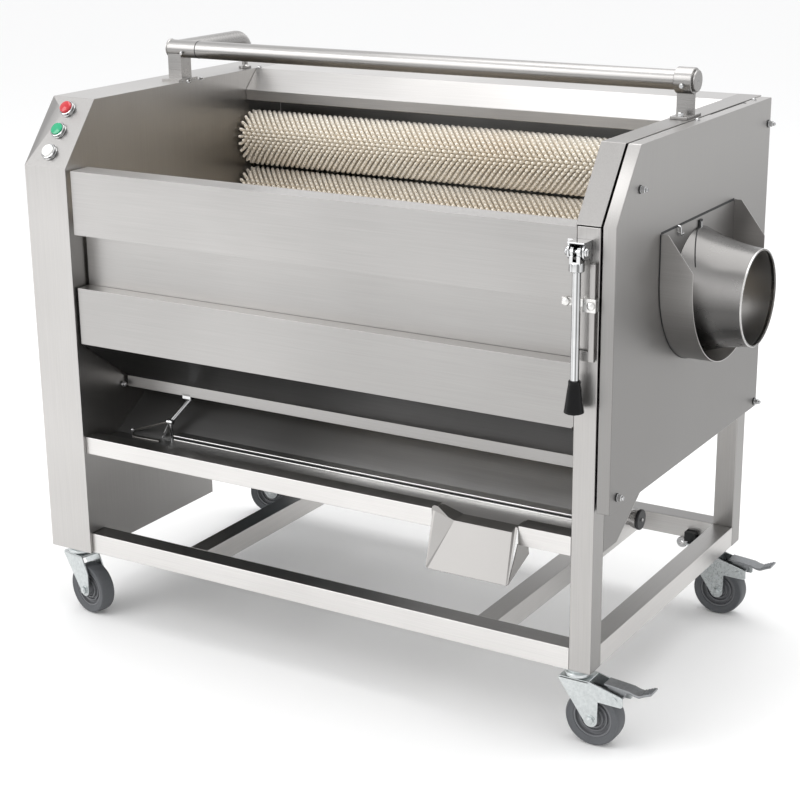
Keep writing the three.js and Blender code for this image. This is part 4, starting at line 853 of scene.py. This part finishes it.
def make_lever():
    """The fork on the pin, the collar and the rod. The slot between the prongs is cut right through."""
    hub = turned("hub", [(4.35, 0), (8, 0), (9, 1), (9, 18), (8, 19), (4.35, 19), (4.35, 0)], 48)
    parts = [placed(hub, at(LEVER_X - HUB_HALF, LEVER_Y, PIVOT_Z), "X"),
             slab("neck", at(LEVER_X - HUB_HALF, LEVER_Y - 9, 840), at(LEVER_X + HUB_HALF, LEVER_Y + 9, 856.5), 1.2)]
    for prongs in parts:
        drilled(prongs, slab("slot", at(LEVER_X - SLOT_HALF, LEVER_Y - 20, 847),
                             at(LEVER_X + SLOT_HALF, LEVER_Y + 20, 890), 0))
    stem = turned("stem", [(0, 628.3), (7, 628.3), (7, 829), (9.4, 830), (11.5, 831.2), (12.4, 832), (12.4, 843),
                           (11.4, 845), (0, 845)], 48)
    return parts + [placed(stem, at(LEVER_X, LEVER_Y, 0))]


# A tapered grip with a waist and rounded ends, on the rod
GRIP = [(7.35, 656), (8.6, 656), (9.8, 655), (10.2, 652.6), (9.9, 650), (11.6, 640), (13.8, 622), (15.9, 607),
        (16.4, 604.6), (16, 603.2), (14.2, 602.2), (10, 602), (0, 602), (0, 628), (7.35, 628), (7.35, 656)]
assembled("lever_bracket_bright", make_bracket(), chrome, ["lever_bracket"])
assembled("control_lever_bright", make_lever(), chrome, ["control_lever"], "lever")
finished(placed(turned("grip", GRIP, 64), at(LEVER_X, LEVER_Y, 0)), grip_black, ["lever_knob"], "lever")
print("the lever's pin is", PIVOT_Z, "mm above the floor")


# %% The guide that the gate's link slides in: blocks, a cover plate in front, and two round studs
GUIDE_LOW, GUIDE_HIGH = 765, 787
guide = [slab("guide_bar", at(1104, -2.6, 770), at(1150, 0, 782), 0.6),
         slab("guide_plate", at(1143, -3, GUIDE_LOW), at(1167, 0, GUIDE_HIGH), 0.6),
         slab("guide_left", at(1145.4, -12.5, GUIDE_LOW + 0.4), at(1154, -2, GUIDE_HIGH - 0.4), 0.5),
         slab("guide_right", at(1164.6, -12.5, GUIDE_LOW + 0.4), at(1166.6, -2, GUIDE_HIGH - 0.4), 0.4),
         slab("guide_cover", at(1145, -13.5, GUIDE_LOW), at(1167, -11.5, GUIDE_HIGH), 0.5)]
for x, y in ((1112, -2.5), (1159.5, -13)):
    stud = turned("stud", [(0, 0), (6.6, 0), (7, 0.6), (7, 2.4), (6, 4.4), (3.6, 5.6), (0, 6)], 32)
    guide.append(placed(stud, at(x, y, (GUIDE_LOW + GUIDE_HIGH) / 2), "-Y"))
assembled("link_guide_bright", guide, ground_edge, ["link_guide"])
print("parts of the guide:", len(guide))

# %% [markdown]
# ## The buttons
# A red stop button, a green start button and a white lamp sit on the sloped face of the cabinet. Each has a
# turned chrome ring with a gloss plastic lens in it. They are turned about Z and then tilted to the slope.

# %% Where the buttons sit, in mm
SLOPE_FOOT, SLOPE_RUN, SLOPE_RISE = (49, -7, 899), 92, 116
slope_out = Vector((0, -SLOPE_RISE, SLOPE_RUN)).normalized()
# Share of the slope's length, lens top and dome in mm, the lens's finish, its body, and the nodes replaced
CONTROLS = {"stop": (0.82, 15, 2.6, red_lens, "stop_button", ["stop_bezel"], ["stop_button"]),
            "start": (0.51, 12.5, 1.2, green_lens, "start_button", ["start_bezel"], ["start_button"]),
            "lamp": (0.2, 15, 3.4, white_lens, "machine", ["pilot_lamp"], [])}
RING = [(12.4, 0.6), (12.4, 8.2), (12.9, 8.9), (13.6, 9), (14.6, 8.6), (15.2, 7.6), (15.4, 4), (16, 3.4), (16, 0.9),
        (15.6, 0.4), (11, 0.4), (11, -29), (9.8, -29), (9.8, 0.6), (12.4, 0.6)]


# %% Rings and lenses
def on_slope(piece, share):
    """Tilts a piece made along Z to the slope, and puts it at a share of its length."""
    x, y, z = SLOPE_FOOT
    return aimed(piece, at(x, y + SLOPE_RUN * share, z + SLOPE_RISE * share), slope_out)


def lens_profile(top, dome):
    """A push button's section: a stem, a straight side and a soft dome."""
    return [(0, -22), (9.2, -22), (9.2, 5.4), (11.9, 5.4), (11.9, top - dome - 0.8), (11.5, top - dome),
            (10.4, top - dome * 0.62), (8.2, top - dome * 0.3), (4.4, top - dome * 0.08), (0, top)]


for name, (share, top, dome, lens, body, ring_node, lens_node) in CONTROLS.items():
    finished(on_slope(turned(name + "_ring", RING), share), chrome, ring_node)
    finished(on_slope(turned(name + "_lens", lens_profile(top, dome)), share), lens, lens_node, body)
print("the control face leans back", round(math.degrees(math.atan2(SLOPE_RUN, SLOPE_RISE)), 1), "degrees")

# %% [markdown]
# ## The casters
# Each swivel caster has a top plate with a ball race, a pressed fork, and a grey rubber wheel on an axle bolt.
# The two at the right end also have a foot brake. One of each kind is modelled about its own swivel axis,
# trailing to +X, and then copied, turned and put under its corner of the frame.

# %% Caster places and sizes in mm
CASTERS = {"front_right": (1129, 38, 0, True), "rear_right": (1115, 646, 0, True),
           "front_left": (32, 38, -12, False), "rear_left": (32, 646, 25, False)}
TRAIL, WHEEL_RADIUS, FRAME_FOOT, CROWN_TOP = 32, 50, 142, 120
CHEEK_IN, CHEEK_OUT = 18.5, 21.5
PEDAL_X, PEDAL_Z, PEDAL_HALF = 75, 96, 14


def near(x, y, z):
    """A place in mm about a caster's own swivel axis."""
    return Vector((x, y, z)) * MM


def make_round(name, side):
    """A wheel part whose section is the same on both sides of the wheel's middle."""
    section = side + [(radius, -height) for radius, height in reversed(side)] + [side[0]]
    return placed(turned(name, section, 72), near(TRAIL, 0, WHEEL_RADIUS), "Y")


def make_top():
    """The mounting plate and the ball race under it."""
    race = [(7, 120.4), (22, 120.4), (24, 122), (24, 126), (22.6, 128), (20.5, 129.4), (22.4, 131), (24, 133.4),
            (24, 136.4), (21, 138.4), (7, 138.4), (7, 120.4)]
    return joined("caster_top", [slab("caster_plate", near(-32, -32, FRAME_FOOT - 4), near(32, 32, FRAME_FOOT), 1.2),
                                 turned("ball_race", race, 56)])


def across(name, radius, x, z, start, end, edge=0.4, steps=32):
    """A rod across a caster, at x and z, from one y to another."""
    return rod(name, radius, near(x, start, z), near(x, end, z), edge, steps)


def make_fork(braked):
    """Two cheeks, the crown between them, the kingpin and the axle bolt with its nuts."""
    arc = [math.radians(a) for a in range(0, -166, -15)]
    outline = [(-28, 113.5), (-28, 117), (-25, 120), (28, 120)]
    outline += [(84, 105.7), (90, 103), (90, 88), (87, 85.3)] if braked else []
    outline += [(45, 86)] + [(TRAIL + 13 * math.cos(a), WHEEL_RADIUS + 13 * math.sin(a)) for a in arc]
    parts = [plate("cheek", [near(x, side, z) for x, z in outline], ALONG_Y * (CHEEK_OUT - CHEEK_IN), 0.7)
             for side in (CHEEK_IN, -CHEEK_OUT)]
    parts += [slab("crown", near(-28, -CHEEK_OUT, 115), near(28, CHEEK_OUT, CROWN_TOP), 1.6, 3),
              rod("kingpin", 6, near(0, 0, 112), near(0, 0, 131.5), 0.6),
              rod("kingpin_nut", 10, near(0, 0, 108.6), near(0, 0, 115.2), 0.8, 6),
              across("axle_bolt", 4.6, TRAIL, WHEEL_RADIUS, -28, 28, 0.8)]
    for side in (-1, 1):
        parts.append(across("axle_washer", 9.6, TRAIL, WHEEL_RADIUS, side * (CHEEK_OUT - 0.2), side * 22.8, 0.4))
        parts.append(across("axle_nut", 7.6, TRAIL, WHEEL_RADIUS, side * 22.6, side * 26.8, 0.9, 6))
    if braked:
        parts.append(across("pedal_pin", 4, PEDAL_X, PEDAL_Z, -CHEEK_OUT, CHEEK_OUT))
        parts += [across("pin_head", 6, PEDAL_X, PEDAL_Z, side * (CHEEK_OUT - 0.2), side * 23.4, 0.8)
                  for side in (-1, 1)]
    return joined("caster_fork", parts)


def make_pedal():
    """The bent tread plate with its ribs, the web and the hub on the pin."""
    upper = [(138, 122), (127, 117.4), (116, 112), (107, 113), (98, 116), (75, 118.2), (52, 120)]
    tread_side = upper + [(x, z - 4.6) for x, z in reversed(upper)]
    web_side = [(67.5, 96), (82.5, 96), (97, 114), (58, 116)]
    parts = [plate(name, [near(x, -PEDAL_HALF, z) for x, z in side], ALONG_Y * 2 * PEDAL_HALF, edge, segments)
             for name, side, edge, segments in (("pedal_tread", tread_side, 1.4, 3), ("pedal_web", web_side, 0.8, 2))]
    parts.append(across("pedal_hub", 7.9, PEDAL_X, PEDAL_Z, -PEDAL_HALF, PEDAL_HALF, 0.8))
    for x, z in ((118 + step * 5, 112.6 + step * 2.3) for step in range(4)):
        parts.append(slab("grip_rib", near(x, 2 - PEDAL_HALF, z), near(x + 2, PEDAL_HALF - 2, z + 2.2), 0.5))
    return joined("brake_pedal", parts)


# %% Four casters from one set of pieces
# A solid tyre has a round tread and a moulded edge on each side; the hub's web has raised rings and a boss
TYRE_SIDE = [(35, 11), (36.5, 12.6), (44, 13.6), (46.2, 15.4), (48, 15), (49.4, 12.6), (50, 8)]
HUB_SIDE = [(6.4, 17), (11.6, 17), (12.6, 16), (13.2, 8), (16, 7.4), (16.8, 10.6), (19, 10.6), (19.8, 5.4), (23, 5),
            (23.8, 8.6), (25.8, 8.6), (26.6, 5), (30, 4.6), (31.6, 6), (32.4, 11.4), (35.2, 11.4)]
models = {"tyre": make_round("tyre", TYRE_SIDE), "hub": make_round("wheel_hub", HUB_SIDE), "caster_top": make_top(),
          "fork": make_fork(False), "braked_fork": make_fork(True), "pedal": make_pedal()}
for place, (x, y, angle, braked) in CASTERS.items():
    kinds = [("caster_top", "caster_top", zinc, "machine", ["caster_plate_" + place]),
             ("fork", "braked_fork" if braked else "fork", zinc, "fork_" + place, ["caster_fork_" + place]),
             ("tyre", "tyre", tread, "wheel_" + place, ["caster_wheel_" + place]),
             ("hub", "hub", hub_plastic, "wheel_" + place, [])]
    if braked:
        kinds.append(("pedal", "pedal", pedal_steel, "pedal_" + place, ["brake_pedal_" + place]))
    for name, model, material, body, stands_for in kinds:
        piece = copied(models[model], name + "_" + place)
        piece.rotation_euler = (0, 0, 0 if name == "caster_top" else math.radians(angle))
        piece.location = at(x, y, 0)
        finished(piece, material, stands_for, body)
for model in models.values():
    bpy.data.objects.remove(model)
print("casters under", ", ".join(CASTERS))

# %% [markdown]
# ## The drive inside the cabinet
# The rollers' shafts pass into the cabinet, where each carries a sprocket. One chain runs over all of them and
# over the gearmotor's sprocket. This is seen from below and behind, so it is modelled with less detail: turned
# shafts, toothed plates, and a motor with cooling fins.

# %% Shaft and motor sizes in mm
SHAFT_LEFT, SHAFT_RIGHT, SHAFT = 44, 1142.7, 15
TEETH, TOOTH_TIP, TOOTH_ROOT, SPROCKET_LEFT, SPROCKET_WIDE = 12, 38, 32, 50, 8
MOTOR_Y, MOTOR_Z, MOTOR_FACE, MOTOR_FINS = 540, 330, 96.3, 40
# One tooth: shares of a tooth's angle, and radii
TOOTH = ((-0.16, TOOTH_TIP - 0.6), (0, TOOTH_TIP), (0.16, TOOTH_TIP - 0.6), (0.36, TOOTH_ROOT + 0.6), (0.5, TOOTH_ROOT),
         (0.64, TOOTH_ROOT + 0.6))


def make_shaft(right_end, radius):
    """A shaft with its sprocket, a toothed plate on a short boss, about the X axis."""
    points = []
    for tooth in range(TEETH):
        for share, reach in TOOTH:
            angle = (tooth + share) * FULL_TURN / TEETH
            points.append(near(SPROCKET_LEFT, reach * math.cos(angle), reach * math.sin(angle)))
    return joined("shaft", [
        rod("shaft", radius, near(SHAFT_LEFT, 0, 0), near(right_end, 0, 0), 0.8),
        plate("sprocket", points, ALONG_X * SPROCKET_WIDE, 0.5, 1),
        rod("boss", 21, near(SPROCKET_LEFT - 4, 0, 0), near(SPROCKET_LEFT + SPROCKET_WIDE + 6, 0, 0), 0.8)])


def about(piece, axis):
    """Moves a piece from the corner's X axis to an axis in the machine."""
    piece.location = (corner.x, axis.y, axis.z)
    return settle(piece)


shaft_model = make_shaft(SHAFT_RIGHT, SHAFT)
for number in ROLLERS:
    finished(about(copied(shaft_model, "shaft_%d" % number), roller_axis[number]), machined_steel,
             ["roller_shaft_%d" % number] if number < 3 else [], "roller_%d" % number)
bpy.data.objects.remove(shaft_model)
motor_axis = at(0, MOTOR_Y, MOTOR_Z)
finished(about(make_shaft(MOTOR_FACE + 19, 12), motor_axis), machined_steel, ["drive_sprocket"], "motor_sprocket")
print("shafts:", len(ROLLERS) + 1)


# %% The gearmotor
def make_motor():
    """Flange, gear case, finned body, fan cover and terminal box, about the X axis."""
    section = [(0, 0), (79, 0), (80, 1), (80, 9), (79, 10), (60, 12), (62, 16), (62, 98), (60, 102), (66, 106),
               (66, 316), (65, 318), (66, 318), (66, 346), (58, 350), (0, 350)]
    parts = [placed(turned("motor_case", section, 72), near(MOTOR_FACE, 0, 0), "X")]
    fin = slab("fin", near(MOTOR_FACE + 112, -1.2, 60), near(MOTOR_FACE + 308, 1.2, 71.8), 0.5, 1)
    for i in range(MOTOR_FINS):
        copy = copied(fin, "fin")
        copy.rotation_euler = (i * FULL_TURN / MOTOR_FINS, 0, 0)
        parts.append(settle(copy))
    bpy.data.objects.remove(fin)
    left, right = MOTOR_FACE + 146, MOTOR_FACE + 226
    parts.append(slab("terminal_box", near(left, -39, 60), near(right, 39, 96), 3, 3))
    parts.append(slab("box_lid", near(left, -40, 94), near(right, 40, 102), 2))
    return joined("gearmotor_painted", parts)


finished(about(make_motor(), motor_axis), motor_paint, ["gearmotor"])

# %% [markdown]
# ## The tray's folded rim and the catch in it
# The sloped floor of the tray ends in a folded rim above the gutter. From the front this rim is two thin bright
# lines with a dark line between them; the dark line is a black strip of painted shade in the fold. Left of it stands
# a wire catch that holds the tray: a bent wire, two legs and a slanted arm whose upper end is fixed behind the lip
# of the lowest front sheet.

# %% Tray rim and catch
RIM_LEFT, RIM_RIGHT = 238, 1118
rim = [at(RIM_LEFT, y, z) for y, z in ((93, 366), (93, 379.4), (116, 380), (97, 366.8))]
finished(plate("tray_rim", rim, ALONG_X * (RIM_RIGHT - RIM_LEFT), 0.3), tray_steel)
beads = [rod("rim_bead", 1.5, at(RIM_LEFT, 93.2, z), at(RIM_RIGHT, 93.2, z), 0.4, 12) for z in (371, 378.6)]
assembled("tray_rim_beads", beads, ground_edge)
# Painted shade: a black strip in the fold between the two bright beads
finished(slab("tray_rim_painted_shade", at(RIM_LEFT + 1, 92.2, 373), at(RIM_RIGHT - 1, 93.6, 376.6), 0.2), dark_rubber_and_shade)
catch = [rod("arm", 5, at(224, 100, 400), at(246, 142, 443), 1.2),
         slab("arm_block", at(236, 127, 444), at(256, 150, 456), 1),
         rod("arm_end", 4, at(246, 141, 440), at(246, 141, 450)),
         rod("leg", 3.6, at(228, 97, 409), at(205, 100, 367.5)),
         rod("leg", 3.2, at(229, 96, 409), at(233, 94.5, 364.5)),
         rod("leg_joint", 5.2, at(221, 97, 404), at(235, 97, 404), 1.2),
         rod("wire_end", 4.4, at(132, 99, 367), at(134, 97, 376), 2)]
assembled("tray_catch", catch, chrome)
WIRE = ((2.3, (228, 95, 406), (133, 98, 371)), (2, (133, 98, 370), (150, 78, 367)), (2, (150, 78, 367), (212, 80, 367)))
assembled("catch_wire", [rod("wire", radius, at(*start), at(*end), 0.4, 12) for radius, start, end in WIRE],
          machined_steel)
assembled("lip_bolts", [rod("lip_stud", 3, at(97, 116, 456), at(102, 116, 456)),
                        bolt_head("lip_bolt", at(101.5, 116, 456), ALONG_X, 9, 5, 6)], chrome)
print("rim", RIM_RIGHT - RIM_LEFT, "mm long")

# %% [markdown]
# ## Outlets at the foot
# The scoop that drains the gutter is stiffened by a small gusset at its right side, and its left wing stands up
# above the rail. A flat skirt closes the end wall under the side cover. Under the tray, a short drain pipe with a
# black blank looks out at the right end. At the rear rail a black block paints the shadow in the rails' corner,
# beside a bright clamp ring. They are seen from the right and from behind.

# %% Scoop gusset and wing, drain pipe, and the painted shadow block with its ring
THIN = 1.5  # mm
gusset = [at(x, y, z) for x, y, z in ((1036.5, -46, 293), (1031, 40, 317), (1031, 34, 347), (1031, -1, 349))]
wing = [at(x, 0, z) for x, z in ((865, 364), (864, 380), (866, 385), (870, 387.5), (877, 387), (896, 372), (904, 364))]
assembled("scoop_plates", [plate("scoop_gusset", gusset, -ALONG_X * THIN, 0.3),
                           plate("scoop_wing", wing, ALONG_Y * THIN, 0.3)], scoop_steel)
skirt = [at(1165.2, y, z) for y, z in ((40.5, 347), (92, 347), (235, 440), (40.5, 440))]
finished(plate("end_wall_skirt", skirt, ALONG_X * THIN, 0.3), cover_steel)
DRAIN_LEFT, DRAIN_RIGHT, DRAIN_Y, DRAIN_Z, TRAY_UNDER = 1104, 1160, 199, 350, 433
ferrule = turned("drain_ferrule", [(0, 0), (14, 0), (17, 8), (17, 12), (14, 13), (0, 13)], 48)
drain = [rod("drain_stub", 13, at(DRAIN_LEFT, DRAIN_Y, DRAIN_Z), at(DRAIN_LEFT, DRAIN_Y, TRAY_UNDER)),
         rod("drain_run", 13, at(DRAIN_LEFT - 12, DRAIN_Y, DRAIN_Z), at(DRAIN_RIGHT, DRAIN_Y, DRAIN_Z)),
         placed(ferrule, at(DRAIN_RIGHT - 13, DRAIN_Y, DRAIN_Z), "X"),
         rod("drain_pin", 3, at(DRAIN_RIGHT + 4, DRAIN_Y, DRAIN_Z), at(DRAIN_RIGHT + 8, DRAIN_Y, DRAIN_Z), 1)]
assembled("drain_fitting", drain, pipe_steel)
blank = turned("drain_blank", [(0, 0), (17.4, 0), (18, 0.8), (18, 4.4), (17, 5.6), (0, 5.6)], 48)
finished(placed(blank, at(DRAIN_RIGHT, DRAIN_Y, DRAIN_Z), "X"), dark_rubber_and_shade)
# Painted shadow: a black block in the corner of the rails, beside a bright ring
finished(slab("painted_shadow_block", at(1074, 628, 140), at(1098, 646, 160), 1.5), dark_rubber_and_shade)
finished(placed(round_ring("rail_ring", 4, 11, 8, 1, 48), at(1066, 637, 133), "Y"), chrome)
